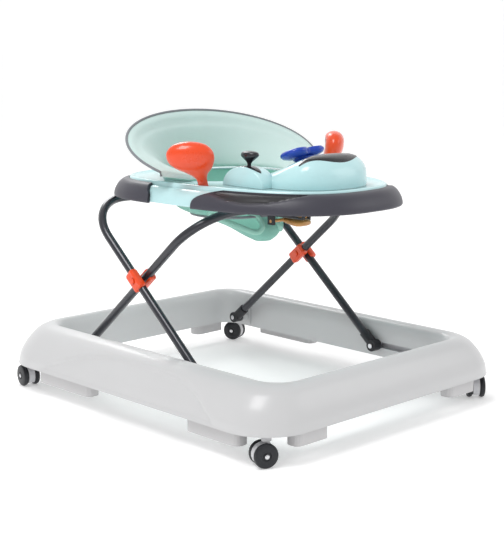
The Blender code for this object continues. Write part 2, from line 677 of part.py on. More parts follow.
def make_height_rack():
    """Two slotted plates under the tray, joined across the top, that the front crossbar slides in."""
    rear = tray_relative_bar_y(LEG_ANGLE + RAISE_TRAVEL) + TUBE_RADIUS + 0.0006
    front = tray_relative_bar_y(LEG_ANGLE - FOLD_TRAVEL) - TUBE_RADIUS - 0.0006
    rim = 0.0036
    top = DECK_UNDER_Z - GAP
    bottom = BAR_Z - TUBE_RADIUS - 0.0006 - rim
    middle = (rear + front) / 2
    size = (0.100, rear - front + 2 * rim, top - bottom)
    shape = box(size, (0, middle, (top + bottom) / 2), 0.0015)
    rack = finish(shape, "height_rack", "fitting_black", (0, REAR_BAR_Y, BAR_Z))
    slot = box((0.2, rear - front, 2 * (TUBE_RADIUS + 0.0006)), (0, middle, BAR_Z))
    boolean(rack, guide(slot, "rack_slot"), "DIFFERENCE")
    trough = box((0.088, 0.3, top - bottom), (0, middle, (top + bottom) / 2 - 0.004))
    boolean(rack, guide(trough, "rack_trough"), "DIFFERENCE")
    pivot_z = BAR_Z - LATCH_DROP
    for name, side in SIDES:
        ear = box((0.005, 0.015, bottom + 0.003 - (pivot_z - 0.0065)),
                  (side * 0.047, LATCH_Y, (bottom + 0.003 + pivot_z - 0.0065) / 2))
        boolean(rack, guide(ear, f"rack_ear_{name}"), "UNION")
    hole = rod(SHAFT_RADIUS + GAP, (-0.06, LATCH_Y, pivot_z), (0.06, LATCH_Y, pivot_z), 16)
    boolean(rack, guide(hole, "latch_hole"), "DIFFERENCE")


def make_height_latch():
    """Paddle under the front crossbar that the parent presses to let the tray down."""
    pivot_z = BAR_Z - LATCH_DROP
    rings = []
    for step, (reach, width, thick) in enumerate([(-0.012, 0.030, 0.006), (0.0, 0.034, 0.009),
                                                  (0.030, 0.038, 0.009), (0.056, 0.046, 0.010),
                                                  (0.070, 0.038, 0.008), (LATCH_REACH, 0.026, 0.005)]):
        ring = []
        for k in range(16):
            angle = 2 * pi * k / 16
            ring.append((width / 2 * rounded_power(cos(angle), 3.0), LATCH_Y - reach,
                         pivot_z - 0.03 * reach + thick / 2 * rounded_power(sin(angle), 3.0)))
        rings.append(ring)
    latch = finish(loft(rings), "height_latch", "latch_amber", (0, LATCH_Y, pivot_z))
    shaft = rod(SHAFT_RADIUS, (-0.0492, LATCH_Y, pivot_z), (0.0492, LATCH_Y, pivot_z), 16)
    boolean(latch, guide(shaft, "latch_shaft"), "UNION")


# ------------------------------------------------------------------ toys

# levels of the hood: rise, share of the width, share of the length, forward shift
HOOD_LEVELS = [(0.0, 1.0, 1.0, 0.0), (0.24, 0.97, 0.84, 0.0147), (0.50, 0.90, 0.61, 0.0345),
               (0.72, 0.80, 0.42, 0.0465), (0.90, 0.64, 0.25, 0.0535), (0.97, 0.46, 0.165, 0.0550),
               (1.0, 0.20, 0.07, 0.0555)]
HOOD_POWER = 2.5


def make_console():
    """Car-like hood with the gear lever's half-round hump moulded beside it."""
    base_z = DECK_Z + GAP
    rings = []
    for rise, wide, long, shift in HOOD_LEVELS:
        rings.append([(HOOD_WIDTH / 2 * wide * rounded_power(cos(2 * pi * k / 32), HOOD_POWER),
                       HOOD_Y - shift + HOOD_LENGTH / 2 * long * rounded_power(sin(2 * pi * k / 32), HOOD_POWER),
                       base_z + HOOD_HEIGHT * rise) for k in range(32)])
    console = finish(loft(rings), "console", "tray_mint", (0, HOOD_Y, DECK_Z))
    hump = loft([[(x, LEVER_Y + HUMP_LENGTH / 2 * cos(pi * k / 14), base_z + HUMP_HEIGHT * sin(pi * k / 14))
                  for k in range(15)] for x in (LEVER_X - HUMP_WIDTH / 2, LEVER_X + HUMP_WIDTH / 2)])
    boolean(console, guide(hump, "hump"), "UNION")
    slot = box((0.008, 0.052, 0.03), (LEVER_X, LEVER_Y, base_z + HUMP_HEIGHT - 0.002))
    boolean(console, guide(slot, "lever_slot"), "DIFFERENCE")
    column = rod(0.0070, wheel_hub() - steer_axis() * 0.04, wheel_hub() - steer_axis() * 0.0145, 16)
    boolean(console, guide(column, "column_bore"), "DIFFERENCE")


def hood_level(rise):
    """(width share, length share, forward shift) of the hood at a height share."""
    for low, high in zip(HOOD_LEVELS, HOOD_LEVELS[1:]):
        if rise <= high[0]:
            share = (rise - low[0]) / (high[0] - low[0])
            return [low[k] + (high[k] - low[k]) * share for k in (1, 2, 3)]
    return HOOD_LEVELS[-1][1:]


def hood_top(x, y):
    """Height of the hood's surface above a point, by halving the range that holds it."""
    low, high = 0.0, 1.0
    for _ in range(20):
        rise = (low + high) / 2
        wide, long, shift = hood_level(rise)
        across = abs(x) / (HOOD_WIDTH / 2 * wide)
        along = abs(y - HOOD_Y + shift) / (HOOD_LENGTH / 2 * long)
        if across ** HOOD_POWER + along ** HOOD_POWER < 1.0:
            low = rise
        else:
            high = rise
    return DECK_Z + GAP + HOOD_HEIGHT * low


def make_visor():
    """Dark windscreen strip that lies over the hood from side to side."""
    rings = []
    steps = 14
    for step in range(steps + 1):
        x = HOOD_WIDTH * 0.385 * (2 * step / steps - 1)
        half = 0.5 * (0.004 + 0.030 * cos(pi / 2 * (2 * step / steps - 1)))
        y = HOOD_Y - 0.054
        ring = []
        for end, lift in ((-1, 0.0016), (0, 0.0016), (1, 0.0016), (1, 0.0036), (0, 0.0046), (-1, 0.0036)):
            ring.append((x, y + end * half, hood_top(x, y + end * half) + lift))
        rings.append(ring)
    finish(loft(rings), "visor", "toy_dark", (0, HOOD_Y, DECK_Z))


def steer_axis():
    return Vector((0, sin(STEER_TILT), cos(STEER_TILT)))


def wheel_hub():
    return Vector((0, WHEEL_Y, DECK_Z + WHEEL_HEIGHT))


def steer_turn():
    return Matrix.Translation(wheel_hub()) @ Matrix.Rotation(-STEER_TILT, 4, "X")


def make_steering_wheel():
    """Two-lobed wheel: its outline swings between a wide and a narrow radius."""
    rings = []
    for scale, z in [(0.30, -0.014), (0.34, -0.008), (0.62, -0.0055), (0.93, -0.002), (1.0, 0.002),
                     (0.95, 0.0055), (0.80, 0.0062), (0.40, 0.0048)]:
        ring = []
        for k in range(32):
            angle = 2 * pi * k / 32
            lobed = 0.0350 + 0.0120 * cos(2 * angle)
            plain = 0.0395
            radius = scale * (lobed if scale > 0.5 else plain)
            ring.append((radius * cos(angle), radius * sin(angle), z))
        rings.append(ring)
    shape = loft(rings)
    shape.transform(steer_turn())
    wheel = finish(shape, "steering_wheel", "toy_blue", wheel_hub())
    column = rod(0.0065, wheel_hub() - steer_axis() * 0.032, wheel_hub() - steer_axis() * 0.010, 16)
    boolean(wheel, guide(column, "column"), "UNION")
    recess = rod(0.0118, wheel_hub() + steer_axis() * 0.0005, wheel_hub() + steer_axis() * 0.02)
    boolean(wheel, guide(recess, "horn_recess"), "DIFFERENCE")


def make_horn_button():
    low = wheel_hub() + steer_axis() * 0.0040
    high = wheel_hub() + steer_axis() * 0.0090
    shape = rod(0.0113, low, high, ROUND, 0.0095)
    finish(shape, "horn_button", "toy_blue", low)


def make_gear_lever():
    """Stalk with an oval knob, on an axle inside the hump."""
    pivot = Vector((LEVER_X, LEVER_Y, DECK_Z + GAP + HUMP_HEIGHT - 0.015))
    rings = []
    for rise, half_x, half_y, lean in [(-0.0008, 0.0030, 0.0030, 0.0), (0.016, 0.0032, 0.0036, 0.0),
                                       (0.022, 0.0040, 0.0055, 0.0005), (0.028, 0.0085, 0.0130, 0.001),
                                       (0.033, 0.0120, 0.0190, 0.0015), (0.038, 0.0115, 0.0185, 0.002),
                                       (0.042, 0.0070, 0.0120, 0.002)]:
        rings.append([(pivot.x + half_x * cos(2 * pi * k / 16), pivot.y - lean + half_y * sin(2 * pi * k / 16),
                       pivot.z + rise) for k in range(16)])
    finish(loft(rings), "gear_lever", "toy_dark", pivot)


def make_mirror(name, side):
    """Teardrop mirror head on a short stalk, its face turned towards the child."""
    foot = Vector((side * MIRROR_X, MIRROR_Y, DECK_Z + GAP))
    broad = Vector((side, 1, 0)).normalized()
    thin = Vector((side, -1, 0)).normalized()
    rings = []
    for rise, along, back, half_broad, half_thin in [
            (0.0, 0.0, 0.0, 0.0075, 0.0075), (0.014, 0.002, 0.002, 0.0072, 0.0070),
            (0.024, 0.006, 0.007, 0.011, 0.0085), (0.033, 0.013, 0.013, 0.024, 0.0125),
            (0.043, 0.019, 0.018, 0.036, 0.0175), (0.054, 0.0215, 0.020, 0.0415, 0.0200),
            (0.065, 0.0225, 0.021, 0.0395, 0.0195), (0.074, 0.0225, 0.021, 0.0300, 0.0150),
            (0.080, 0.0225, 0.021, 0.0150, 0.0080)]:
        centre = foot + broad * along + thin * back + Vector((0, 0, rise))
        rings.append([centre + broad * half_broad * cos(2 * pi * k / 20) + thin * half_thin * sin(2 * pi * k / 20)
                      for k in range(20)])
    finish(loft(rings), name, "clip_orange", foot)


# ------------------------------------------------------------------ seat

def make_seat_back():
    """Flared padded band around the rear of the seat opening."""
    rings = []
    steps = 28
    low_z = DECK_Z + 0.0045
    for step in range(steps + 1):
        angle = radians(BACK_SWEEP) * (2 * step / steps - 1)
        low = Vector(((OPENING_WIDTH / 2 - 0.002) * sin(angle),
                      OPENING_Y + (OPENING_LENGTH / 2 - 0.002) * cos(angle), low_z))
        high = Vector((BACK_WIDTH / 2 * sin(angle), OPENING_Y + BACK_REACH * cos(angle),
                       DECK_Z + BACK_MID_HEIGHT + BACK_RISE * cos(angle)))
        up = (high - low).normalized()
        tangent = Vector((BACK_WIDTH / 2 * cos(angle), -BACK_REACH * sin(angle), -BACK_RISE * sin(angle)))
        inward = up.cross(tangent).normalized()
        if inward.y * cos(angle) + inward.x * sin(angle) > 0:
            inward.negate()
        thick = inward * BACK_THICKNESS
        rings.append([low, low.lerp(high, 0.5), high, high + thick * 0.4 + up * 0.003, high + thick,
                      low.lerp(high, 0.5) + thick, Vector((low.x, low.y, low_z)) + thick])
    shape = loft(rings)
    for vert in shape.verts:
        vert.co.z = max(vert.co.z, DECK_Z + 0.0040)
    finish(shape, "seat_back", "seat_fabric", (0, OPENING_Y, DECK_Z))


def sling_rings(wall):
    top = DECK_Z - 0.0005
    rings = []
    for drop, scale, forward in [(0.0, 1.0, 0.0), (0.28, 0.97, 0.005), (0.50, 0.85, 0.021), (0.63, 0.63, 0.050),
                                 (0.77, 0.43, 0.080), (0.91, 0.27, 0.096), (1.0, 0.13, 0.102)]:
        half_x = (OPENING_WIDTH / 2 - 0.0015 - wall) * scale
        half_y = (OPENING_LENGTH / 2 - 0.0015 - wall) * scale
        z = top - (SLING_DEPTH - wall) * drop
        rings.append([(half_x * rounded_power(cos(2 * pi * k / 36), 2.3),
                       OPENING_Y - forward + half_y * rounded_power(sin(2 * pi * k / 36), 2.3), z)
                      for k in range(36)])
    return rings


def make_seat_sling():
    """Hanging fabric seat, with a hole for each leg."""
    outside = sling_rings(0.0)
    inside = sling_rings(SLING_WALL)
    sling = finish(loft(list(reversed(outside)) + inside), "seat_sling", "seat_fabric",
                   (0, OPENING_Y, DECK_Z))
    for name, side in SIDES:
        middle = Vector((side * 0.066, -0.016, DECK_Z - 0.078))
        along = Vector((side * 0.5, -0.85, -0.15)).normalized()
        hole = rod(0.034, middle - along * 0.055, middle + along * 0.07, 20)
        boolean(sling, guide(hole, f"leg_hole_{name}"), "DIFFERENCE")


def main():
    clear_scene()
    make_base()
    for name, side in SIDES:
        make_slide_rail(name, side)
    make_stop_pads()
    make_casters()
    make_frame("inner_frame", INNER_LEG_X, REAR_FOOT_Y, -1)
    make_frame("outer_frame", OUTER_LEG_X, FRONT_FOOT_Y, 1)
    make_feet()
    make_crossing()
    make_tray()
    make_bumper("bumper_front", BUMPER_FRONT_END_Y, False)
    make_bumper("bumper_rear", BUMPER_REAR_END_Y, True)
    make_hinge_clamp()
    make_height_rack()
    make_height_latch()
    make_console()
    make_visor()
    make_steering_wheel()
    make_horn_button()
    make_gear_lever()
    for name, side in SIDES:
        make_mirror(f"mirror_{name}", side)
    make_seat_back()
    make_seat_sling()


main()
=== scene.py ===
from math import asin, atan2, cos, pi, radians, sin

import bmesh
import bpy
from mathutils import Matrix, Vector


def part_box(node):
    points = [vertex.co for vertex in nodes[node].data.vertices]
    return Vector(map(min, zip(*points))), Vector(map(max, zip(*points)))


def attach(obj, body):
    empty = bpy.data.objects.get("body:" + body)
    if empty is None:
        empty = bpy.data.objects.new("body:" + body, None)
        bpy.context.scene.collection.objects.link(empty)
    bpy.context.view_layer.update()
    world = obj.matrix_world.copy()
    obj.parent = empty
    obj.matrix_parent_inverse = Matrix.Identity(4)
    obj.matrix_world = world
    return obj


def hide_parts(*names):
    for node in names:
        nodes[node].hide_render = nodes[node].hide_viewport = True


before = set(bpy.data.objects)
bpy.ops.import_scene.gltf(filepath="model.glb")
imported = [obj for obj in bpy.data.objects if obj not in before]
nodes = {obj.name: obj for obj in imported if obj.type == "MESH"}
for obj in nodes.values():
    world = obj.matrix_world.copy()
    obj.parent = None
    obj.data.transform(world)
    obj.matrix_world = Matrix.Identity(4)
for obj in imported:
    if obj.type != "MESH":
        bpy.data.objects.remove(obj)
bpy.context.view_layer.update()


def linear(code):
    parts = [int(code[k:k + 2], 16) / 255 for k in (1, 3, 5)]
    return (*[c / 12.92 if c <= 0.04045 else ((c + 0.055) / 1.055) ** 2.4 for c in parts], 1.0)


def add(tree, kind, links=(), **settings):
    item = tree.nodes.new(kind)
    for name, value in settings.items():
        if name.startswith("in") and name[2].isupper():    # a socket's value, such as inScale
            item.inputs[name[2:]].default_value = value
        else:
            setattr(item, name, value)
    for source, target in links:
        tree.links.new(source, item.inputs[target])
    return item


def blank(name):
    mat = bpy.data.materials.new(name)
    mat.use_nodes = True
    mat.node_tree.nodes.clear()
    return mat, mat.node_tree


def close(tree, shader):
    add(tree, "ShaderNodeOutputMaterial", [(shader.outputs["BSDF"], "Surface")])


# Object coordinates counted in cells of that size
def coordinates(tree, sizeMm):
    place = add(tree, "ShaderNodeTexCoord")
    scale = 1000.0 / sizeMm
    mapping = add(tree, "ShaderNodeMapping", [(place.outputs["Object"], "Vector")])
    mapping.inputs["Scale"].default_value = (scale, scale, scale)
    return mapping.outputs["Vector"]


# Injection-moulded plastic: slight flow mottling, a fine tool texture and duller patches, with painted shade that
# darkens its corners and crevices
def moulded(name, code, rough, mottle=0.03, grainMm=1.2, grain=0.02, coat=0.0, aoShadeDepth=0.10, scoopShadowColour=None):
    mat, tree = blank(name)
    cloud = add(tree, "ShaderNodeTexNoise", [(coordinates(tree, 60), "Vector")], inScale=1.0, inDetail=3.0)
    colour = linear(code)
    # a darker copy of the colour, used as painted shade in corners and crevices
    dark = tuple(c * (1 - aoShadeDepth) for c in colour[:3]) + (1.0,)
    ramp = add(tree, "ShaderNodeMix", [(cloud.outputs["Fac"], "Factor")], data_type="RGBA")
    ramp.inputs["A"].default_value = tuple(c * (1 - mottle) for c in colour[:3]) + (1.0,)
    ramp.inputs["B"].default_value = tuple(min(c * (1 + mottle), 1.0) for c in colour[:3]) + (1.0,)
    body = ramp.outputs["Result"]
    # painted shadow: the scooped grip's recess is coloured near-black as if in shade
    if scoopShadowColour:  # the scooped part, marked on the mesh
        mark = add(tree, "ShaderNodeAttribute", attribute_name="scoopShadow")
        scooped = add(tree, "ShaderNodeMix", [(mark.outputs["Fac"], "Factor"), (body, "A")], data_type="RGBA")
        scooped.inputs["B"].default_value = linear(scoopShadowColour)
        body = scooped.outputs["Result"]
    # painted shade: ambient occlusion blends in the darker copy where corners, creases and gaps lie in shade
    corner = add(tree, "ShaderNodeAmbientOcclusion", inDistance=0.02)
    tint = add(tree, "ShaderNodeMix", [(corner.outputs["AO"], "Factor"), (body, "B")], data_type="RGBA")
    tint.inputs["A"].default_value = dark
    patch = add(tree, "ShaderNodeTexNoise", [(coordinates(tree, 25), "Vector")], inScale=1.0, inDetail=4.0)
    dull = add(tree, "ShaderNodeMapRange", [(patch.outputs["Fac"], "Value")])
    dull.inputs["To Min"].default_value = rough * 0.88
    dull.inputs["To Max"].default_value = rough * 1.12
    fine = add(tree, "ShaderNodeTexNoise", [(coordinates(tree, grainMm), "Vector")], inScale=1.0, inDetail=2.0)
    bump = add(tree, "ShaderNodeBump", [(fine.outputs["Fac"], "Height")], inStrength=grain, inDistance=0.0005)
    shader = add(tree, "ShaderNodeBsdfPrincipled",
                 [(tint.outputs["Result"], "Base Color"), (dull.outputs["Result"], "Roughness"),
                  (bump.outputs["Normal"], "Normal")], inIOR=1.49)
    shader.inputs["Coat Weight"].default_value = coat
    shader.inputs["Coat Roughness"].default_value = 0.12
    close(tree, shader)
    return mat


# Steel, drawn or plated: fine streaks along the surface and uneven polish
def metal(name, code, rough, metallic=1.0, grainMm=0.8):
    mat, tree = blank(name)
    streak = add(tree, "ShaderNodeTexNoise", [(coordinates(tree, grainMm), "Vector")], inScale=1.0, inDetail=5.0)
    polish = add(tree, "ShaderNodeMapRange", [(streak.outputs["Fac"], "Value")])
    polish.inputs["To Min"].default_value = rough * 0.75
    polish.inputs["To Max"].default_value = rough * 1.25
    cloud = add(tree, "ShaderNodeTexNoise", [(coordinates(tree, 30), "Vector")], inScale=1.0, inDetail=2.0)
    colour = linear(code)
    tint = add(tree, "ShaderNodeMix", [(cloud.outputs["Fac"], "Factor")], data_type="RGBA")
    tint.inputs["A"].default_value = tuple(c * 0.9 for c in colour[:3]) + (1.0,)
    tint.inputs["B"].default_value = colour
    shader = add(tree, "ShaderNodeBsdfPrincipled",
                 [(tint.outputs["Result"], "Base Color"), (polish.outputs["Result"], "Roughness")],
                 inMetallic=metallic)
    close(tree, shader)
    return mat


# Glossy powder coat on steel tube: orange-peel ripple under a clear gloss
def powderCoat(name, code):
    mat, tree = blank(name)
    peel = add(tree, "ShaderNodeTexNoise", [(coordinates(tree, 2.5), "Vector")], inScale=1.0, inDetail=1.0)
    bump = add(tree, "ShaderNodeBump", [(peel.outputs["Fac"], "Height")], inStrength=0.06, inDistance=0.0006)
    cloud = add(tree, "ShaderNodeTexNoise", [(coordinates(tree, 40), "Vector")], inScale=1.0, inDetail=2.0)
    colour = linear(code)
    tint = add(tree, "ShaderNodeMix", [(cloud.outputs["Fac"], "Factor")], data_type="RGBA")
    tint.inputs["A"].default_value = tuple(c * 0.8 for c in colour[:3]) + (1.0,)
    tint.inputs["B"].default_value = tuple(c * 1.2 for c in colour[:3]) + (1.0,)
    shader = add(tree, "ShaderNodeBsdfPrincipled",
                 [(tint.outputs["Result"], "Base Color"), (bump.outputs["Normal"], "Normal")],
                 inRoughness=0.30, inMetallic=0.35, inIOR=1.5)
    shader.inputs["Coat Weight"].default_value = 0.6
    shader.inputs["Coat Roughness"].default_value = 0.1
    close(tree, shader)
    return mat


# Plain-woven polyester cover: crossed threads, slight fading and a soft sheen
def cloth(name, code, threadMm=0.9, rough=0.85, relief=0.25):
    mat, tree = blank(name)
    colour = linear(code)
    cells = coordinates(tree, threadMm)
    weaves = []
    for axis in ("X", "Y", "Z"):
        weaves.append(add(tree, "ShaderNodeTexWave", [(cells, "Vector")], bands_direction=axis,
                          inScale=0.5, inDistortion=0.6, inDetail=1.0))
    first = add(tree, "ShaderNodeMath", [(weaves[0].outputs["Fac"], 0), (weaves[1].outputs["Fac"], 1)],
                operation="MAXIMUM")
    second = add(tree, "ShaderNodeMath", [(first.outputs[0], 0), (weaves[2].outputs["Fac"], 1)],
                 operation="MULTIPLY")
    crumple = add(tree, "ShaderNodeTexNoise", [(coordinates(tree, 18), "Vector")], inScale=1.0, inDetail=3.0)
    height = add(tree, "ShaderNodeMath", [(second.outputs[0], 0), (crumple.outputs["Fac"], 1)], operation="ADD")
    bump = add(tree, "ShaderNodeBump", [(height.outputs[0], "Height")], inStrength=relief, inDistance=0.0008)
    tint = add(tree, "ShaderNodeMix", [(second.outputs[0], "Factor")], data_type="RGBA")
    tint.inputs["A"].default_value = tuple(c * 0.90 for c in colour[:3]) + (1.0,)
    tint.inputs["B"].default_value = tuple(min(c * 1.04, 1.0) for c in colour[:3]) + (1.0,)
    fade = add(tree, "ShaderNodeTexNoise", [(coordinates(tree, 90), "Vector")], inScale=1.0, inDetail=2.0)
    shade = add(tree, "ShaderNodeMapRange", [(fade.outputs["Fac"], "Value")])
    shade.inputs["To Min"].default_value = 0.94
    shade.inputs["To Max"].default_value = 1.03
    faded = add(tree, "ShaderNodeHueSaturation", [(tint.outputs["Result"], "Color"),
                                                  (shade.outputs["Result"], "Value")])
    shader = add(tree, "ShaderNodeBsdfPrincipled",
                 [(faded.outputs["Color"], "Base Color"), (bump.outputs["Normal"], "Normal")], inRoughness=rough)
    shader.inputs["Sheen Weight"].default_value = 0.15
    close(tree, shader)
    return mat


# each moulded finish sets how far painted shade darkens its corners
finishes = {
    "shell": moulded("polypropyleneShellGrey", "#D0D0D1", 0.34, mottle=0.012, grain=0.02, coat=0.15, aoShadeDepth=0.22),
    "pad": moulded("thermoplasticRubberPad", "#CFCECF", 0.75, grainMm=0.8, grain=0.15),
    "wheel": moulded("wheelRubberBlack", "#1A1C22", 0.42, grain=0.05),
    "fork": moulded("polyamideForkGrey", "#CFCFD2", 0.42),
    "steel": metal("zincPlatedSteel", "#DADADD", 0.22),
    "tube": powderCoat("powderCoatCharcoal", "#2A2B33"),
    "fitting": moulded("polyamideFittingBlack", "#1E1F24", 0.45, grain=0.06),
    "orange": moulded("absOrange", "#F04A14", 0.28, mottle=0.03, coat=0.4, aoShadeDepth=0.3),
    "mint": moulded("absMint", "#C2E8EB", 0.22, mottle=0.012, coat=0.4, aoShadeDepth=0.25),
    # the bumper's scooped grips carry a near-black painted shadow
    "bumper": moulded("softTouchAnthracite", "#403F49", 0.40, mottle=0.05, grainMm=0.9, grain=0.10, aoShadeDepth=0.4,
                      scoopShadowColour="#17161B"),
    "blue": moulded("absBlue", "#0B3FB5", 0.26, mottle=0.05, coat=0.4, aoShadeDepth=0.4),
    "dark": moulded("absSmokeGrey", "#1F2025", 0.25, mottle=0.05, coat=0.3),
    "amber": moulded("polycarbonateAmber", "#C98F50", 0.30, mottle=0.08, coat=0.2),
    "cover": cloth("polyesterCoverMint", "#D6EEEA"),
    # the sling's cover: its dark teal is painted shade for the seat opening under the seat back
    "coverShadedTeal": cloth("polyesterCoverShadedTeal", "#8CCBBB"),
    "coverEdge": cloth("polyesterPaddedEdge", "#A5DCCB"),
    "piping": cloth("bindingTapeGrey", "#8C9095", threadMm=0.6, relief=0.4),
    "mirror": metal("vacuumSilveredPlastic", "#F2F4F5", 0.06, grainMm=6.0),
}


# Extrudes the first ring's edges through the others; each ring has the same number of points
def skin(rings, closed=False):
    shape = bmesh.new()
    order = {shape.verts.new(point): k for k, point in enumerate(rings[0])}
    start = list(order)
    edges = [shape.edges.new((a, b)) for a, b in zip(start, start[1:] + start[:1])]
    for ring in rings[1:] + (rings[:1] if closed else []):
        grown = bmesh.ops.extrude_edge_only(shape, edges=edges)["geom"]
        fresh = {}
        for item in grown:
            if isinstance(item, bmesh.types.BMVert):
                before = [edge.other_vert(item) for edge in item.link_edges]
                fresh[item] = next(order[vert] for vert in before if vert in order)
        edges = [item for item in grown if isinstance(item, bmesh.types.BMEdge)
                 and item.verts[0] in fresh and item.verts[1] in fresh]
        for vert, k in fresh.items():
            vert.co = ring[k]
        order = fresh
    if closed:
        bmesh.ops.remove_doubles(shape, verts=shape.verts[:], dist=0.000001)
    else:
        bmesh.ops.holes_fill(shape, edges=[edge for edge in shape.edges if edge.is_boundary], sides=0)
    bmesh.ops.recalc_face_normals(shape, faces=shape.faces[:])
    if shape.calc_volume(signed=True) < 0:
        bmesh.ops.reverse_faces(shape, faces=shape.faces[:])
    return shape


# Makes the object, dresses it and hangs it on its CAD body
def piece(name, shape, finish, body, replaces=(), angle=40.0):
    mesh = bpy.data.meshes.new(name)
    shape.to_mesh(mesh)
    shape.free()
    obj = bpy.data.objects.new(name, mesh)
    bpy.context.scene.collection.objects.link(obj)
    mesh.materials.append(finishes[finish])
    mesh.shade_smooth()
    mesh.set_sharp_from_angle(angle=radians(angle))
    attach(obj, body)
    if replaces:
        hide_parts(*replaces)
    return obj


# A smooth run of count points through the given ones
def wrap(points, count):
    points = [Vector(point) for point in points]
    spans = len(points) - 1
    run = []
    for step in range(count):
        place = spans * step / (count - 1)
        index = min(int(place), spans - 1)
        t = place - index
        p0, p1, p2, p3 = [points[min(max(index + k, 0), spans)] for k in (-1, 0, 1, 2)]
        run.append(0.5 * (2 * p1 + (p2 - p0) * t + (2 * p0 - 5 * p1 + 4 * p2 - p3) * t * t
                          + (3 * p1 - p0 - 3 * p2 + p3) * t ** 3))
    return run


# Rings round a path, held upright as it goes
def tubeRings(path, radius, sides, closed=False):
    rings = []
    for k, point in enumerate(path):
        ahead = path[(k + 1) % len(path)] if closed else path[min(k + 1, len(path) - 1)]
        behind = path[k - 1] if closed or k else path[0]
        along = (ahead - behind).normalized()
        side = along.cross(Vector((0, 0, 1))) if abs(along.z) < 0.95 else along.cross(Vector((0, 1, 0)))
        side.normalize()
        lift = side.cross(along)
        rings.append([point + radius * (side * cos(2 * pi * n / sides) + lift * sin(2 * pi * n / sides))
                      for n in range(sides)])
    return rings


def power(value, sharp):
    return (1 if value >= 0 else -1) * abs(value) ** (2.0 / sharp)


def eased(value, low, high):
    t = min(max((value - low) / (high - low), 0.0), 1.0)
    return t * t * (3 - 2 * t)


base = {"width": 0.644, "length": 0.748, "corner": 0.090, "inner": 0.040, "lip": 0.053, "crest": 0.126,
        "sideBand": 0.0875, "endBand": 0.060, "wall": 0.003,
        "section": [(0.0, 0.0), (0.012, 0.045), (0.05, 0.26), (0.16, 0.51), (0.29, 0.70), (0.42, 0.85),
                    (0.60, 0.96), (0.77, 1.0), (0.90, 0.95), (0.97, 0.82), (1.0, 0.62), (1.0, 0.30),
                    (1.0, 0.0)],
        "crease": 0.0042, "cornerSteps": 14, "sideSteps": 90, "endSteps": 10,
        "arch": {"halfLength": 0.252, "rise": 0.060, "frontPower": 4.0, "rearPower": 2.2},
        "slot": {"x": 0.2345, "y": -0.174, "z": 0.0765, "size": (0.012, 0.1405, 0.012)}}


# Rounded rectangle at that inset, the same count of points for every inset
def baseLoop(inset, z):
    steps, along, across = base["cornerSteps"], base["sideSteps"], base["endSteps"]
    share = inset / base["sideBand"]
    radius = base["corner"] + (base["inner"] - base["corner"]) * share
    halfX = base["width"] / 2 - inset
    halfY = base["length"] / 2 - share * base["endBand"]
    points = []
    corners = [(1, 1, 0, across), (-1, 1, 90, along), (-1, -1, 180, across), (1, -1, 270, along)]
    for cornerX, cornerY, start, straight in corners:
        for step in range(steps + 1):
            angle = radians(start + 90 * step / steps)
            points.append(Vector((cornerX * (halfX - radius) + radius * cos(angle),
                                  cornerY * (halfY - radius) + radius * sin(angle), z)))
        last = points[-1]
        nextStart = {0: Vector((-(halfX - radius), halfY, z)), 90: Vector((-halfX, -(halfY - radius), z)),
                     180: Vector((halfX - radius, -halfY, z)), 270: Vector((halfX, halfY - radius, z))}[start]
        for step in range(1, straight):
            points.append(last.lerp(nextStart, step / straight))
    return points


# The styling crease on the sides: an arch that is steeper at its front
def archHeight(y):
    arch = base["arch"]
    share = abs(y) / arch["halfLength"]
    if share >= 1:
        return base["lip"] - 0.01    # below the lip, so no crease
    return base["lip"] + arch["rise"] * (1 - share ** arch["frontPower" if y < 0 else "rearPower"])


def makeBase():
    height = base["crest"] - base["lip"]
    corners = [(share * base["sideBand"], base["lip"] + rise * height, 0) for share, rise in base["section"]]
    outline = wrap(corners, 46)
    rings = []
    for place in outline:
        ring = baseLoop(min(max(place.x, 0.0), base["sideBand"]), place.y)
        if place.x < 0.55 * base["sideBand"]:
            for point in ring:
                flank = eased(abs(point.x), 0.245, 0.262) * (1 - eased(abs(point.y), 0.262, 0.285))
                under = 1 - eased(point.z, archHeight(point.y) - 0.0055, archHeight(point.y) + 0.0015)
                keep = eased(point.z, base["lip"] + 0.001, base["lip"] + 0.010)
                point.x -= (1 if point.x > 0 else -1) * base["crease"] * flank * under * keep
        rings.append(ring)
    inside = []
    for place, after in zip(outline[::3], outline[1::3]):
        along = (after - place).normalized()
        moved = place + base["wall"] * Vector((along.y, -along.x, 0))
        inside.append(baseLoop(min(max(moved.x, base["wall"]), base["sideBand"] - base["wall"]),
                               max(moved.y, base["lip"])))
    shape = skin(rings + list(reversed(inside)), closed=True)
    shell = piece("baseShell", shape, "shell", "base", ["base_shell"], angle=35.0)
    slots = bmesh.new()
    for side in (-1, 1):
        slot = base["slot"]
        spot = Matrix.Translation((side * slot["x"], slot["y"], slot["z"])) @ Matrix.Diagonal((*slot["size"], 1))
        bmesh.ops.create_cube(slots, size=1.0, matrix=spot)
    mesh = bpy.data.meshes.new("slotCutter")
    slots.to_mesh(mesh)
    slots.free()
    cutter = bpy.data.objects.new("slotCutter", mesh)
    bpy.context.scene.collection.objects.link(cutter)
    cut = shell.modifiers.new("slots", "BOOLEAN")
    cut.operation = "DIFFERENCE"
    cut.object = cutter
    cut.solver = "EXACT"
    bpy.context.view_layer.update()
    baked = bpy.data.meshes.new_from_object(shell.evaluated_get(bpy.context.evaluated_depsgraph_get()))
    shell.modifiers.clear()
    shell.data = baked
    bpy.data.objects.remove(cutter)


# Gives a carried-over CAD node its real material, and a softer edge where it needs one
def dress(name, finish, bevel=0.0):
    obj = nodes[name]
    obj.data.materials.clear()
    obj.data.materials.append(finishes[finish])
    if bevel:
        soft = obj.modifiers.new("edge", "BEVEL")
        soft.width = bevel
        soft.segments = 2
        soft.limit_method = "ANGLE"
        soft.angle_limit = radians(35)


wheel = {"radius": 0.021, "width": 0.010, "spread": 0.0118, "trail": 0.005, "x": 0.283, "y": 0.334,
         "headings": {"front_left": 66.0, "front_right": -44.0, "rear_left": -11.0, "rear_right": 22.0}}


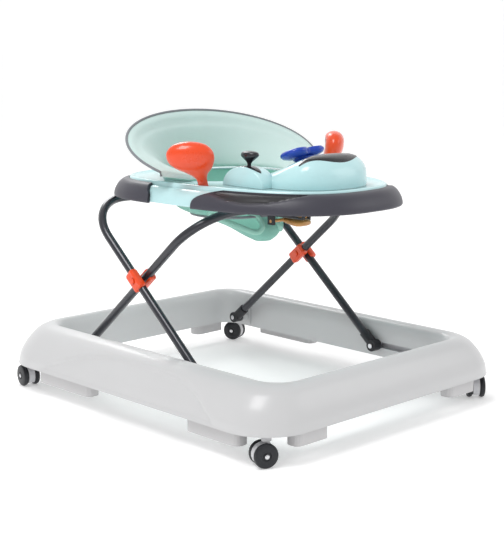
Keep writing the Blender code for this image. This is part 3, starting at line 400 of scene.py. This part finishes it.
def makeCasters():
    half = wheel["width"] / 2
    big = wheel["radius"]
    outline = [(0.0022, -half + 0.0016), (0.0070, -half + 0.0016), (0.0078, -half + 0.0004),
               (big - 0.0034, -half), (big - 0.0012, -half + 0.0010), (big, -0.0012), (big, 0.0012),
               (big - 0.0012, half - 0.0010), (big - 0.0034, half), (0.0078, half - 0.0004),
               (0.0070, half - 0.0016), (0.0022, half - 0.0016)]
    for name, heading in wheel["headings"].items():
        side = -1 if "left" in name else 1
        end = -1 if "front" in name else 1
        stem = Matrix.Translation((side * wheel["x"], end * wheel["y"], 0))
        turn = stem @ Matrix.Rotation(radians(heading), 4, "Z")
        for key, out in (("a", -1), ("b", 1)):
            shape = bmesh.new()
            verts = [shape.verts.new((x, 0, r)) for r, x in outline]
            edges = [shape.edges.new((a, b)) for a, b in zip(verts, verts[1:] + verts[:1])]
            bmesh.ops.spin(shape, geom=verts + edges, axis=(1, 0, 0), cent=(0, 0, 0), angle=2 * pi, steps=48,
                           use_merge=True)
            bmesh.ops.remove_doubles(shape, verts=shape.verts[:], dist=0.00001)
            bmesh.ops.recalc_face_normals(shape, faces=shape.faces[:])
            lift = turn @ Matrix.Translation((out * wheel["spread"], wheel["trail"], wheel["radius"]))
            shape.transform(lift)
            node = nodeOf(f"caster_wheel_{name}_{key}", lift.translation)
            piece(f"wheel_{name}_{key}", shape, "wheel", f"wheel_{name}_{key}", [node], angle=28.0)
        dress(f"caster_yoke_{name}", "fork")
        dress(f"caster_axle_{name}", "steel")


# Warns where the CAD's own wheel does not stand where this piece is put
def nodeOf(name, place):
    low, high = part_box(name)
    centre = [(a + b) / 2 for a, b in zip(low, high)]
    if (Vector(centre) - place).length > 0.003:
        print("place differs", name, [round(c, 4) for c in centre], [round(c, 4) for c in place])
    return name


tube = {"angle": 41.0, "lower": 0.252, "upper": 0.201, "crossingY": 0.0625, "footZ": 0.0765, "radius": 0.008,
        "bend": 0.092, "outerX": 0.2235, "innerX": 0.206}


def makeTubes():
    slope = radians(tube["angle"])
    for name, halfWidth, toward, body in (("inner_frame", tube["innerX"], -1, "frame_inner"),
                                          ("outer_frame", tube["outerX"], 1, "frame_outer")):
        up = Vector((0, toward * cos(slope), sin(slope)))
        foot = Vector((0, tube["crossingY"] - toward * tube["lower"] * cos(slope), tube["footZ"]))
        reach = tube["lower"] + tube["upper"]
        bend = tube["bend"]
        half = [foot + up * (0.0115 + (reach - bend - 0.0115) * k / 6) - Vector((halfWidth, 0, 0)) for k in range(6)]
        centre = foot + up * (reach - bend) - Vector((halfWidth - bend, 0, 0))
        for step in range(17):
            angle = pi / 2 * step / 16
            half.append(centre - Vector((bend * cos(angle), 0, 0)) + up * bend * sin(angle))
        path = half + [Vector((-point.x, point.y, point.z)) for point in reversed(half)]
        normal = Vector((0, -up.z, up.y)) * toward
        rings = []
        for k, point in enumerate(path):
            along = (path[min(k + 1, len(path) - 1)] - path[max(k - 1, 0)]).normalized()
            other = along.cross(normal).normalized()
            rings.append([point + tube["radius"] * (normal * cos(2 * pi * n / 28) + other * sin(2 * pi * n / 28))
                          for n in range(28)])
        piece(f"{body}Tube", skin(rings), "tube", body, [name])


def makeFittings():
    for side in ("left", "right"):
        for name in ("rear_foot", "front_foot"):
            dress(f"{name}_{side}", "fitting", 0.0006)
        for name in ("rear_foot_pin", "slide_pin"):
            dress(f"{name}_{side}", "steel")
        dress(f"crossing_pin_{side}", "orange")
        for name in ("inner_clip", "outer_clip"):
            dress(f"{name}_{side}", "orange", 0.0008)
    for name in ("tray_hinge_clamp", "height_rack"):
        dress(name, "fitting")


tray = {"width": 0.410, "front": -0.312, "rear": 0.250, "widest": 0.060, "power": 2.7, "lip": 0.383695,
        "deck": 0.419195, "wall": 0.003, "openWidth": 0.256, "openLength": 0.214, "openY": 0.0635,
        "collar": 0.0215, "rimInset": 0.031, "rimWidth": 0.006, "steps": 176,
        "bumperFront": -0.060, "bumperRear": 0.053}


def trayPoint(angle, inset, z):
    x = (tray["width"] / 2 - inset) * power(cos(angle), tray["power"])
    reach = tray["rear"] - tray["widest"] if sin(angle) > 0 else tray["widest"] - tray["front"]
    return Vector((x, tray["widest"] + (reach - inset) * power(sin(angle), tray["power"]), z))


def openingPoint(angle, outset, z):
    return Vector(((tray["openWidth"] / 2 + outset) * power(cos(angle), 2.3),
                   tray["openY"] + (tray["openLength"] / 2 + outset) * power(sin(angle), 2.3), z))


def skirt():
    tall = tray["deck"] - tray["lip"]
    return [(0.0065, tray["lip"] + 0.002), (0.0085, tray["lip"] + 0.35 * tall), (0.0135, tray["lip"] + 0.62 * tall),
            (0.0200, tray["lip"] + 0.80 * tall), (0.0270, tray["lip"] + 0.86 * tall)]


def makeTray():
    deck = tray["deck"]
    turns = [2 * pi * k / tray["steps"] for k in range(tray["steps"])]
    inset = tray["rimInset"]
    rows = [(x, z) for x, z in skirt()]
    rows += [(inset - 0.0030, deck + 0.0012), (inset - 0.001, deck + 0.0026), (inset + 0.001, deck + 0.0028),
             (inset + 0.0035, deck + 0.0014), (inset + tray["rimWidth"], deck)]
    rings = [[trayPoint(a, x, z) for a in turns] for x, z in rows]
    for outset, z in ((0.010, deck), (0.006, deck + 0.0008), (0.003, deck + 0.0016), (0.0008, deck + 0.0010),
                      (0.0, deck - 0.002), (0.0, deck - tray["collar"]), (tray["wall"], deck - tray["collar"]),
                      (tray["wall"], deck - tray["wall"])):
        rings.append([openingPoint(a, outset, z) for a in turns])
    rings.append([trayPoint(a, inset + tray["rimWidth"], deck - tray["wall"]) for a in turns])
    for x, z in reversed(skirt()):
        rings.append([trayPoint(a, x + tray["wall"], z - 0.0009) for a in turns])
    piece("trayTop", skin(rings, closed=True), "mint", "tray", ["tray_top"], angle=50.0)


def edgeAngle(limit):
    reach = tray["rear"] - tray["widest"] if limit > tray["widest"] else tray["widest"] - tray["front"]
    share = (limit - tray["widest"]) / reach
    size = asin(abs(share) ** (tray["power"] / 2.0))
    return size if share >= 0 else -size


# Soft bumper; the front one has a scooped grip on each flank, with painted shadow in the scoop
def makeBumper(name, limit, rear):
    tall = tray["deck"] - tray["lip"]
    lip = tray["lip"]
    outside = [(0.0012, lip), (0.0002, lip + 0.04 * tall), (0.0, lip + 0.12 * tall), (0.0022, lip + 0.38 * tall),
               (0.0085, lip + 0.70 * tall), (0.0170, lip + 0.90 * tall), (0.0262, lip + 0.97 * tall)]
    outside = [(p.x, p.y) for p in wrap([(a, b, 0) for a, b in outside], 22)]
    inside = [(x - 0.0009, z + 0.0005) for x, z in reversed(skirt())]
    inside[-1] = (inside[-1][0], lip)
    section = outside + inside
    edge = edgeAngle(limit)
    start, end = (edge, pi - edge) if rear else (pi - edge, 2 * pi + edge)
    steps = 110 if rear else 300
    slant = 0.035 if rear else 0.20
    rings, scoopShadowMask = [], []
    for step in range(steps + 1):
        share = step / steps
        ring = []
        for k, (inset, z) in enumerate(section):
            level = (z - lip) / tall
            push = slant * level ** 4 * ((1 - share) ** 8 - share ** 8)
            point = trayPoint(start + (end - start) * share + push, inset, z)
            depth = 0.0
            if not rear and k < len(outside):
                along = (point.y + 0.172) / 0.088
                floor = 1.0 - 0.50 * max(0.0, 1 - abs(along) ** 2.2)
                depth = eased(level, floor - 0.03, floor + 0.06) if abs(along) < 1 else 0.0
                depth *= 1 - eased(level, 0.962, 0.972)
                point += Vector((-0.0035 if point.x > 0 else 0.0035, 0, -0.0022)) * depth
            scoopShadowMask.append(depth)
            ring.append(point)
        rings.append(ring)
    obj = piece(name, skin(rings), "bumper", "tray", ["bumper_rear" if rear else "bumper_front"], angle=50.0)
    # the scoop depth is stored on the mesh as the mask of the painted shadow
    layer = obj.data.attributes.new("scoopShadow", "FLOAT", "POINT")
    layer.data.foreach_set("value", scoopShadowMask)


toys = {"hoodWidth": 0.190, "hoodLength": 0.200, "hoodY": -0.1545, "hoodHeight": 0.056,
        "levels": [(0.0, 1.0, 1.0, 0.0), (0.24, 0.97, 0.84, 0.0147), (0.50, 0.90, 0.61, 0.0345),
                   (0.72, 0.80, 0.42, 0.0465), (0.90, 0.64, 0.25, 0.0535), (0.97, 0.46, 0.165, 0.0550),
                   (1.0, 0.20, 0.07, 0.0555)],
        "hoodPower": 2.5, "leverX": -0.100, "leverY": -0.105, "humpLength": 0.103, "humpHeight": 0.0355,
        "humpWidth": 0.036, "wheelY": -0.140, "wheelHeight": 0.0545, "tilt": 20.0,
        "mirrorX": 0.157, "mirrorY": -0.047}


def hoodLevel(rise):
    for low, high in zip(toys["levels"], toys["levels"][1:]):
        if rise <= high[0]:
            share = (rise - low[0]) / (high[0] - low[0])
            return [low[k] + (high[k] - low[k]) * share for k in (1, 2, 3)]
    return toys["levels"][-1][1:]


# Height of the hood over a point, by halving the range that holds it
def hoodTop(x, y):
    low, high = 0.0, 1.0
    for _ in range(22):
        rise = (low + high) / 2
        wide, long, shift = hoodLevel(rise)
        across = abs(x) / (toys["hoodWidth"] / 2 * wide)
        along = abs(y - toys["hoodY"] + shift) / (toys["hoodLength"] / 2 * long)
        if across ** toys["hoodPower"] + along ** toys["hoodPower"] < 1.0:
            low = rise
        else:
            high = rise
    return tray["deck"] + 0.0003 + toys["hoodHeight"] * low


def makeConsole():
    floor = tray["deck"] + 0.0003
    levels = wrap([(wide, long, shift) for _, wide, long, shift in toys["levels"]], 25)
    rises = wrap([(rise, 0, 0) for rise, *_ in toys["levels"]], 25)
    rings = []
    for (wide, long, shift), (rise, *_) in zip(levels, rises):
        rings.append([Vector((toys["hoodWidth"] / 2 * wide * power(cos(2 * pi * k / 96), toys["hoodPower"]),
                              toys["hoodY"] - shift + toys["hoodLength"] / 2 * long
                              * power(sin(2 * pi * k / 96), toys["hoodPower"]),
                              floor + toys["hoodHeight"] * rise)) for k in range(96)])
    piece("consoleHood", skin(rings), "mint", "tray", ["console"], angle=60.0)
    profile = [(cos(pi * k / 40), sin(pi * k / 40)) for k in range(41)]
    rings = []
    for x, scale in ((-1.0, 0.955), (-0.93, 0.985), (-0.80, 1.0), (0.80, 1.0), (0.93, 0.985), (1.0, 0.955)):
        rings.append([Vector((toys["leverX"] + x * toys["humpWidth"] / 2,
                              toys["leverY"] + toys["humpLength"] / 2 * scale * c,
                              floor + toys["humpHeight"] * scale * s)) for c, s in profile])
    piece("leverHump", skin(rings), "mint", "tray", angle=50.0)
    rings = []
    for k in range(25):
        angle = radians(50 + 84 * k / 24)
        up = Vector((0, cos(angle) * toys["humpLength"] / 2, sin(angle) * toys["humpHeight"]))
        out = Vector((0, cos(angle) / toys["humpLength"], sin(angle) / toys["humpHeight"])).normalized()
        centre = Vector((toys["leverX"] - 0.006, toys["leverY"], floor)) + up
        half = 0.0085 * (1 - abs(2 * k / 24 - 1) ** 4) + 0.0005
        rings.append([centre + Vector((-half, 0, 0)) - out * 0.0006, centre + Vector((-half, 0, 0)) + out * 0.0004,
                      centre + Vector((-half * 0.8, 0, 0)) + out * 0.0011,
                      centre + Vector((half * 0.8, 0, 0)) + out * 0.0011,
                      centre + Vector((half, 0, 0)) + out * 0.0004, centre + Vector((half, 0, 0)) - out * 0.0006])
    piece("leverGate", skin(rings), "dark", "tray", angle=50.0)


# Smoked windscreen band that wraps over the hood, pointed at its tips
def makeVisor():
    rings = []
    for step in range(41):
        t = 2 * step / 40 - 1
        x = toys["hoodWidth"] * 0.40 * t
        half = 0.0008 + 0.0215 * (1 - abs(t) ** 2.2)
        middle = toys["hoodY"] - 0.0625 + 0.013 * t * t
        ring = []
        for end, lift in ((-1, 0.0002), (-0.97, 0.0012), (-0.6, 0.0020), (0, 0.0023), (0.6, 0.0020), (0.97, 0.0012),
                          (1, 0.0002), (0.6, -0.0006), (0, -0.0006), (-0.6, -0.0006)):
            y = middle + end * half
            ring.append(Vector((x, y, hoodTop(x, y) + lift)))
        rings.append(ring)
    piece("windscreen", skin(rings), "dark", "tray", ["visor"], angle=60.0)


def steerPlace():
    return (Matrix.Translation((0, toys["wheelY"], tray["deck"] + toys["wheelHeight"]))
            @ Matrix.Rotation(-radians(toys["tilt"]), 4, "X"))


# Butterfly wheel: two rounded grips, a sunk middle and a raised horn disc
def makeSteering():
    rings = []
    for scale, z in ((0.20, -0.0105), (0.42, -0.0100), (0.66, -0.0080), (0.90, -0.0050), (1.0, -0.0005),
                     (1.0, 0.0030), (0.93, 0.0062), (0.82, 0.0068), (0.70, 0.0056), (0.60, 0.0026), (0.47, 0.0016),
                     (0.46, -0.0012), (0.20, -0.0012)):    # the well that the horn sinks into
        ring = []
        for k in range(64):
            angle = 2 * pi * k / 64
            lobed = 0.0345 + 0.0125 * cos(2 * angle) - 0.0030 * cos(4 * angle)
            radius = scale * (lobed if scale > 0.55 else 0.026)
            ring.append(Vector((radius * cos(angle), radius * sin(angle), z)))
        rings.append(ring)
    shape = skin(rings)
    for low, high, depth, z in ((0.0065, 0.0065, 0.020, -0.022), (0.0115, 0.0200, 0.013, -0.0155)):
        bmesh.ops.create_cone(shape, cap_ends=True, segments=40, radius1=low, radius2=high, depth=depth,
                              matrix=Matrix.Translation((0, 0, z)))
    shape.transform(steerPlace())
    piece("steeringWheel", shape, "blue", "steering_wheel", ["steering_wheel"], angle=60.0)
    rings = []
    for radius, z in ((0.0110, 0.0022), (0.0113, 0.0060), (0.0108, 0.0078), (0.0090, 0.0090), (0.0050, 0.0097),
                      (0.0015, 0.0099)):
        rings.append([Vector((radius * cos(2 * pi * k / 40), radius * sin(2 * pi * k / 40), z)) for k in range(40)])
    shape = skin(rings)
    shape.transform(steerPlace())
    piece("hornDisc", shape, "blue", "horn_button", ["horn_button"], angle=60.0)


def makeLever():
    pivot = Vector((toys["leverX"], toys["leverY"], tray["deck"] + 0.0003 + toys["humpHeight"] - 0.015))
    rows = wrap([(-0.0008, 0.0030, 0.0030), (0.016, 0.0032, 0.0036), (0.022, 0.0042, 0.0056), (0.028, 0.0088, 0.0130),
                 (0.033, 0.0121, 0.0190), (0.038, 0.0115, 0.0185), (0.0405, 0.0090, 0.0150),
                 (0.042, 0.0040, 0.0070)], 30)
    rings = []
    for rise, halfX, halfY in rows:
        rings.append([Vector((pivot.x + halfX * cos(2 * pi * k / 32),
                              pivot.y - 0.002 * eased(rise, 0.016, 0.04) + halfY * sin(2 * pi * k / 32),
                              pivot.z + rise)) for k in range(32)])
    piece("gearLever", skin(rings), "dark", "gear_lever", ["gear_lever"], angle=70.0)


# Teardrop head on a stalk; the silvered face sits in a rim and looks at the child
def makeMirror(name, side):
    foot = Vector((side * toys["mirrorX"], toys["mirrorY"], tray["deck"] + 0.0003))
    broad = Vector((side, 1, 0)).normalized()
    thin = Vector((side, -1, 0)).normalized()
    rows = [(0.0, 0.001, 0.001, 0.0100, 0.0092), (0.006, 0.0015, 0.0015, 0.0092, 0.0086),
            (0.014, 0.004, 0.004, 0.0105, 0.0088), (0.023, 0.010, 0.010, 0.0185, 0.0120),
            (0.032, 0.0165, 0.016, 0.0315, 0.0160), (0.042, 0.0205, 0.019, 0.0395, 0.0190),
            (0.054, 0.0220, 0.020, 0.0425, 0.0203), (0.065, 0.0225, 0.021, 0.0395, 0.0195),
            (0.074, 0.0225, 0.021, 0.0300, 0.0150), (0.0785, 0.0225, 0.021, 0.0180, 0.0090),
            (0.0803, 0.0225, 0.021, 0.0060, 0.0030)]
    first = wrap([(r, a, b) for r, a, b, _, _ in rows], 44)
    second = wrap([(c, d, 0) for _, _, _, c, d in rows], 44)
    rings = []
    for (rise, along, back), (halfBroad, halfThin, _) in zip(first, second):
        centre = foot + broad * along + thin * back + Vector((0, 0, rise))
        rings.append([centre + broad * halfBroad * cos(2 * pi * k / 48)
                      + thin * max(halfThin * sin(2 * pi * k / 48), -0.0165) for k in range(48)])
    piece(f"mirrorHead_{name}", skin(rings), "orange", f"mirror_{name}", [f"mirror_{name}"], angle=70.0)
    centre = foot + broad * 0.0220 + thin * (0.0200 - 0.0163) + Vector((0, 0, 0.0545))
    rings = []
    for scale, lift in ((1.0, 0.0), (1.0, 0.0007), (0.6, 0.0012), (0.05, 0.0013)):
        rings.append([centre - thin * lift + broad * 0.0205 * scale * cos(2 * pi * k / 48)
                      + Vector((0, 0, 1)) * 0.0140 * scale * sin(2 * pi * k / 48) for k in range(48)])
    piece(f"mirrorFace_{name}", skin(rings), "mirror", f"mirror_{name}", angle=50.0)


latch = {"y": -0.108, "barZ": 0.373695, "drop": 0.0225, "shaftRadius": 0.003, "shaftLength": 0.0984,
         "rows": [(-0.010, 0.026, 0.006), (0.0, 0.032, 0.010), (0.012, 0.036, 0.0125), (0.026, 0.042, 0.0135),
                  (0.036, 0.039, 0.0115), (0.041, 0.026, 0.006)]}    # reach, width, thickness


# Thick amber thumb paddle on its cross shaft
def makeLatch():
    pivot = Vector((0, latch["y"], latch["barZ"] - latch["drop"]))
    rows = wrap(latch["rows"], 24)
    rings = []
    for reach, width, thick in rows:
        droop = -0.08 * max(reach, 0) - 0.0015
        rings.append([pivot + Vector((width / 2 * power(cos(2 * pi * k / 32), 3.0), -reach,
                                      droop + thick / 2 * power(sin(2 * pi * k / 32), 3.0))) for k in range(32)])
    shape = skin(rings)
    bmesh.ops.create_cone(shape, cap_ends=True, segments=24, radius1=latch["shaftRadius"],
                          radius2=latch["shaftRadius"], depth=latch["shaftLength"],
                          matrix=Matrix.Translation(pivot) @ Matrix.Rotation(pi / 2, 4, "Y"))
    piece("latchPaddle", shape, "amber", "height_latch", ["height_latch"], angle=50.0)


seat = {"width": 0.452, "reach": 0.117, "mid": 0.0495, "rise": 0.069, "thick": 0.014, "sweep": 116.0,
        "depth": 0.115, "wall": 0.005}


# (lower edge, upper edge, inward direction) of the flared band at an angle from the rear
def backStation(angle):
    deck = tray["deck"]
    low = Vector(((tray["openWidth"] / 2 - 0.002) * sin(angle),
                  tray["openY"] + (tray["openLength"] / 2 - 0.002) * cos(angle), deck + 0.0045))
    high = Vector((seat["width"] / 2 * sin(angle), tray["openY"] + seat["reach"] * cos(angle),
                   deck + seat["mid"] + seat["rise"] * cos(angle)))
    up = (high - low).normalized()
    tangent = Vector((seat["width"] / 2 * cos(angle), -seat["reach"] * sin(angle), -seat["rise"] * sin(angle)))
    inward = up.cross(tangent).normalized()
    if inward.y * cos(angle) + inward.x * sin(angle) > 0:
        inward.negate()
    return low, high, inward


# Padded band: sewn flat at its rims, filled between them, with a stitched line set in from the edge
def makeSeatBack():
    rings = []
    steps = 150
    for step in range(steps + 1):
        turn = 2 * step / steps - 1
        low, high, inward = backStation(radians(seat["sweep"]) * turn)
        up = (high - low).normalized()
        full = 1 - abs(turn) ** 14
        section = []
        for share in [k / 16 for k in range(17)]:
            puff = (1 - abs(2 * share - 1) ** 3.2) * full
            tuck = 0.45 * max(0.0, 1 - ((share - 0.80) / 0.045) ** 2) * full
            depth = seat["thick"] * (0.30 + 0.66 * puff * (1 - tuck))
            section.append(low.lerp(high, share) + inward * depth)
        for share in [k / 8 for k in range(8, -1, -1)]:
            puff = (1 - abs(2 * share - 1) ** 2.5) * full
            section.append(low.lerp(high, share) + inward * (0.10 * seat["thick"] * (1 - 0.8 * puff)))
        for point in section:
            point.z = max(point.z, tray["deck"] + 0.0040)
        rings.append(section)
    back = piece("seatBackPad", skin(rings), "cover", "tray", ["seat_back"], angle=80.0)
    path = []
    for step in range(141):
        low, high, inward = backStation(radians(seat["sweep"]) * (2 * step / 140 - 1))
        path.append(high + inward * 0.0032 + (high - low).normalized() * 0.0006)
    piece("seatBackPiping", skin(tubeRings(path, 0.0024, 14)), "piping", "tray", angle=80.0)


def slingRings(wall, count, levels):
    top = tray["deck"] - 0.0005
    rows = wrap([(0.0, 1.0, 0.0), (0.28, 0.97, 0.005), (0.50, 0.85, 0.021), (0.63, 0.63, 0.050), (0.77, 0.43, 0.080),
                 (0.91, 0.27, 0.096), (1.0, 0.13, 0.102)], levels)
    rings = []
    for drop, scale, forward in rows:
        halfX = (tray["openWidth"] / 2 - 0.0015 - wall) * scale
        halfY = (tray["openLength"] / 2 - 0.0015 - wall) * scale
        z = top - (seat["depth"] - wall) * drop
        rings.append([Vector((halfX * power(cos(2 * pi * k / count), 2.3),
                              tray["openY"] - forward + halfY * power(sin(2 * pi * k / count), 2.3), z))
                      for k in range(count)])
    return rings


# Hanging seat: both faces of the padded cloth, opened for the legs, with rolled edges and a bound hem
def makeSling():
    around = 180    # points round the sling, a multiple of four
    outside = slingRings(0.0, around, 60)
    inside = slingRings(seat["wall"] * 0.7, around, 60)
    shape = skin(list(reversed(outside)) + inside)
    hole = {"turn": 46.0, "wide": 31.0, "drop": 0.63, "tall": 0.20}
    doomed = []
    for face in shape.faces:
        middle = face.calc_center_median()
        drop = (tray["deck"] - 0.0005 - middle.z) / seat["depth"]
        nearest = min(outside, key=lambda ring: abs(ring[0].z - middle.z))
        centreY = (nearest[around // 4].y + nearest[3 * around // 4].y) / 2
        halfX = nearest[0].x
        halfY = nearest[around // 4].y - centreY
        across = power(abs(middle.x) / halfX, 2 * 2 / 2.3) if halfX else 0
        turn = atan2((max(centreY - middle.y, 0) / halfY) ** 1.15, max(across, 0.0001))
        sideways = (turn - radians(hole["turn"])) / radians(hole["wide"])
        upwards = (drop - hole["drop"]) / hole["tall"]
        if sideways ** 2 + upwards ** 2 < 1:
            doomed.append(face)
    bmesh.ops.delete(shape, geom=doomed, context="FACES")
    sling = piece("seatSling", shape, "coverShadedTeal", "tray", ["seat_sling"], angle=80.0)
    hem = slingRings(-0.0012, 90, 34)[14]
    piece("seatHem", skin(tubeRings(hem, 0.0026, 12, closed=True), closed=True), "piping", "tray", angle=80.0)
    for name, side in (("left", -1), ("right", 1)):
        edge = []
        for k in range(72):
            turn = radians(hole["turn"] + hole["wide"] * cos(2 * pi * k / 72))
            drop = hole["drop"] + hole["tall"] * sin(2 * pi * k / 72)
            edge.append(slingPoint(turn, drop, side))
        piece(f"legEdge_{name}", skin(tubeRings(edge, 0.0052, 14, closed=True), closed=True), "coverEdge", "tray",
              angle=80.0)


# A point of the sling's outer face: turn is measured from the side towards the front
def slingPoint(turn, drop, side):
    rings = slingRings(0.0015, 4, 201)
    top = tray["deck"] - 0.0005
    ring = min(rings, key=lambda points: abs(points[0].z - (top - seat["depth"] * drop)))
    halfX = ring[0].x
    centreY = (ring[1].y + ring[3].y) / 2
    halfY = ring[1].y - centreY
    return Vector((side * halfX * power(cos(turn), 2.3), centreY - halfY * power(sin(turn), 2.3), ring[0].z))


studio = {"paper": "#F6F6F6", "paperGlow": 0.30, "sky": 0.62, "aim": (0, 0, 0.25),
          "lamps": (("key", (-1.3, -0.2, 2.3), 1.0, 24), ("fill", (1.9, -2.0, 1.5), 1.4, 7),
                    ("back", (0.9, 2.2, 2.2), 1.0, 18))}    # name, place, size, watts


def makeStage():
    mat, tree = blank("paperSweep")
    shader = add(tree, "ShaderNodeBsdfPrincipled", inRoughness=0.9)
    shader.inputs["Base Color"].default_value = linear(studio["paper"])
    shader.inputs["Emission Color"].default_value = (1.0, 1.0, 1.0, 1.0)
    shader.inputs["Emission Strength"].default_value = studio["paperGlow"]
    close(tree, shader)
    shape = bmesh.new()
    edge = [shape.verts.new((-12, y, z)) for y, z in [(-6, 0), (4, 0)]
            + [(4 + 1.5 * sin(radians(a)), 1.5 - 1.5 * cos(radians(a))) for a in range(10, 91, 10)] + [(5.5, 8)]]
    lines = [shape.edges.new((a, b)) for a, b in zip(edge, edge[1:])]
    grown = bmesh.ops.extrude_edge_only(shape, edges=lines)["geom"]
    bmesh.ops.translate(shape, verts=[g for g in grown if isinstance(g, bmesh.types.BMVert)], vec=(24, 0, 0))
    bmesh.ops.recalc_face_normals(shape, faces=shape.faces[:])
    shape.transform(Matrix.Rotation(radians(-44), 4, "Z"))
    mesh = bpy.data.meshes.new("paperSweep")
    shape.to_mesh(mesh)
    shape.free()
    mesh.materials.append(mat)
    mesh.shade_smooth()
    sweep = bpy.data.objects.new("paperSweep", mesh)
    bpy.context.scene.collection.objects.link(sweep)
    world = bpy.data.worlds.new("studio")
    bpy.context.scene.world = world
    world.use_nodes = True
    world.node_tree.nodes["Background"].inputs["Color"].default_value = (1.0, 1.0, 1.0, 1.0)
    world.node_tree.nodes["Background"].inputs["Strength"].default_value = studio["sky"]
    for name, place, size, watts in studio["lamps"]:
        lamp = bpy.data.lights.new(name, "AREA")
        lamp.size = size
        lamp.energy = watts
        spot = bpy.data.objects.new(name, lamp)
        spot.location = place
        spot.rotation_euler = (Vector(studio["aim"]) - Vector(place)).to_track_quat("-Z", "Y").to_euler()
        bpy.context.scene.collection.objects.link(spot)


view = {"lens": 80.41, "sensor": 36.0, "place": (-1.640, -1.700, 0.677), "turn": -44.122, "rise": 10.921}


def makeCamera():
    lens = bpy.data.cameras.new("camera")
    lens.lens = view["lens"]
    lens.sensor_width = view["sensor"]
    camera = bpy.data.objects.new("camera", lens)
    camera.location = view["place"]
    turn, rise = radians(view["turn"]), radians(view["rise"])
    back = Vector((sin(turn) * cos(rise), -cos(turn) * cos(rise), sin(rise)))
    camera.rotation_euler = (-back).to_track_quat("-Z", "Y").to_euler()
    bpy.context.scene.collection.objects.link(camera)
    bpy.context.scene.camera = camera
    bpy.context.scene.view_settings.view_transform = "Standard"


makeBase()
for name in nodes:
    if name.startswith("stop_pad"):
        dress(name, "pad")
    if name.startswith(("slide_rail", "rear_hinge_bracket")):
        dress(name, "fork" if name.startswith("slide_rail") else "shell")
print("base done")
makeCasters()
print("casters done")
makeTubes()
makeFittings()
print("frames done")
makeTray()
makeBumper("bumperFront", tray["bumperFront"], False)
makeBumper("bumperRear", tray["bumperRear"], True)
print("tray done")
makeConsole()
makeVisor()
makeSteering()
makeLever()
makeMirror("left", -1)
makeMirror("right", 1)
makeLatch()
print("toys done")
makeSeatBack()
makeSling()
print("seat done")
makeStage()
makeCamera()

bpy.context.view_layer.update()
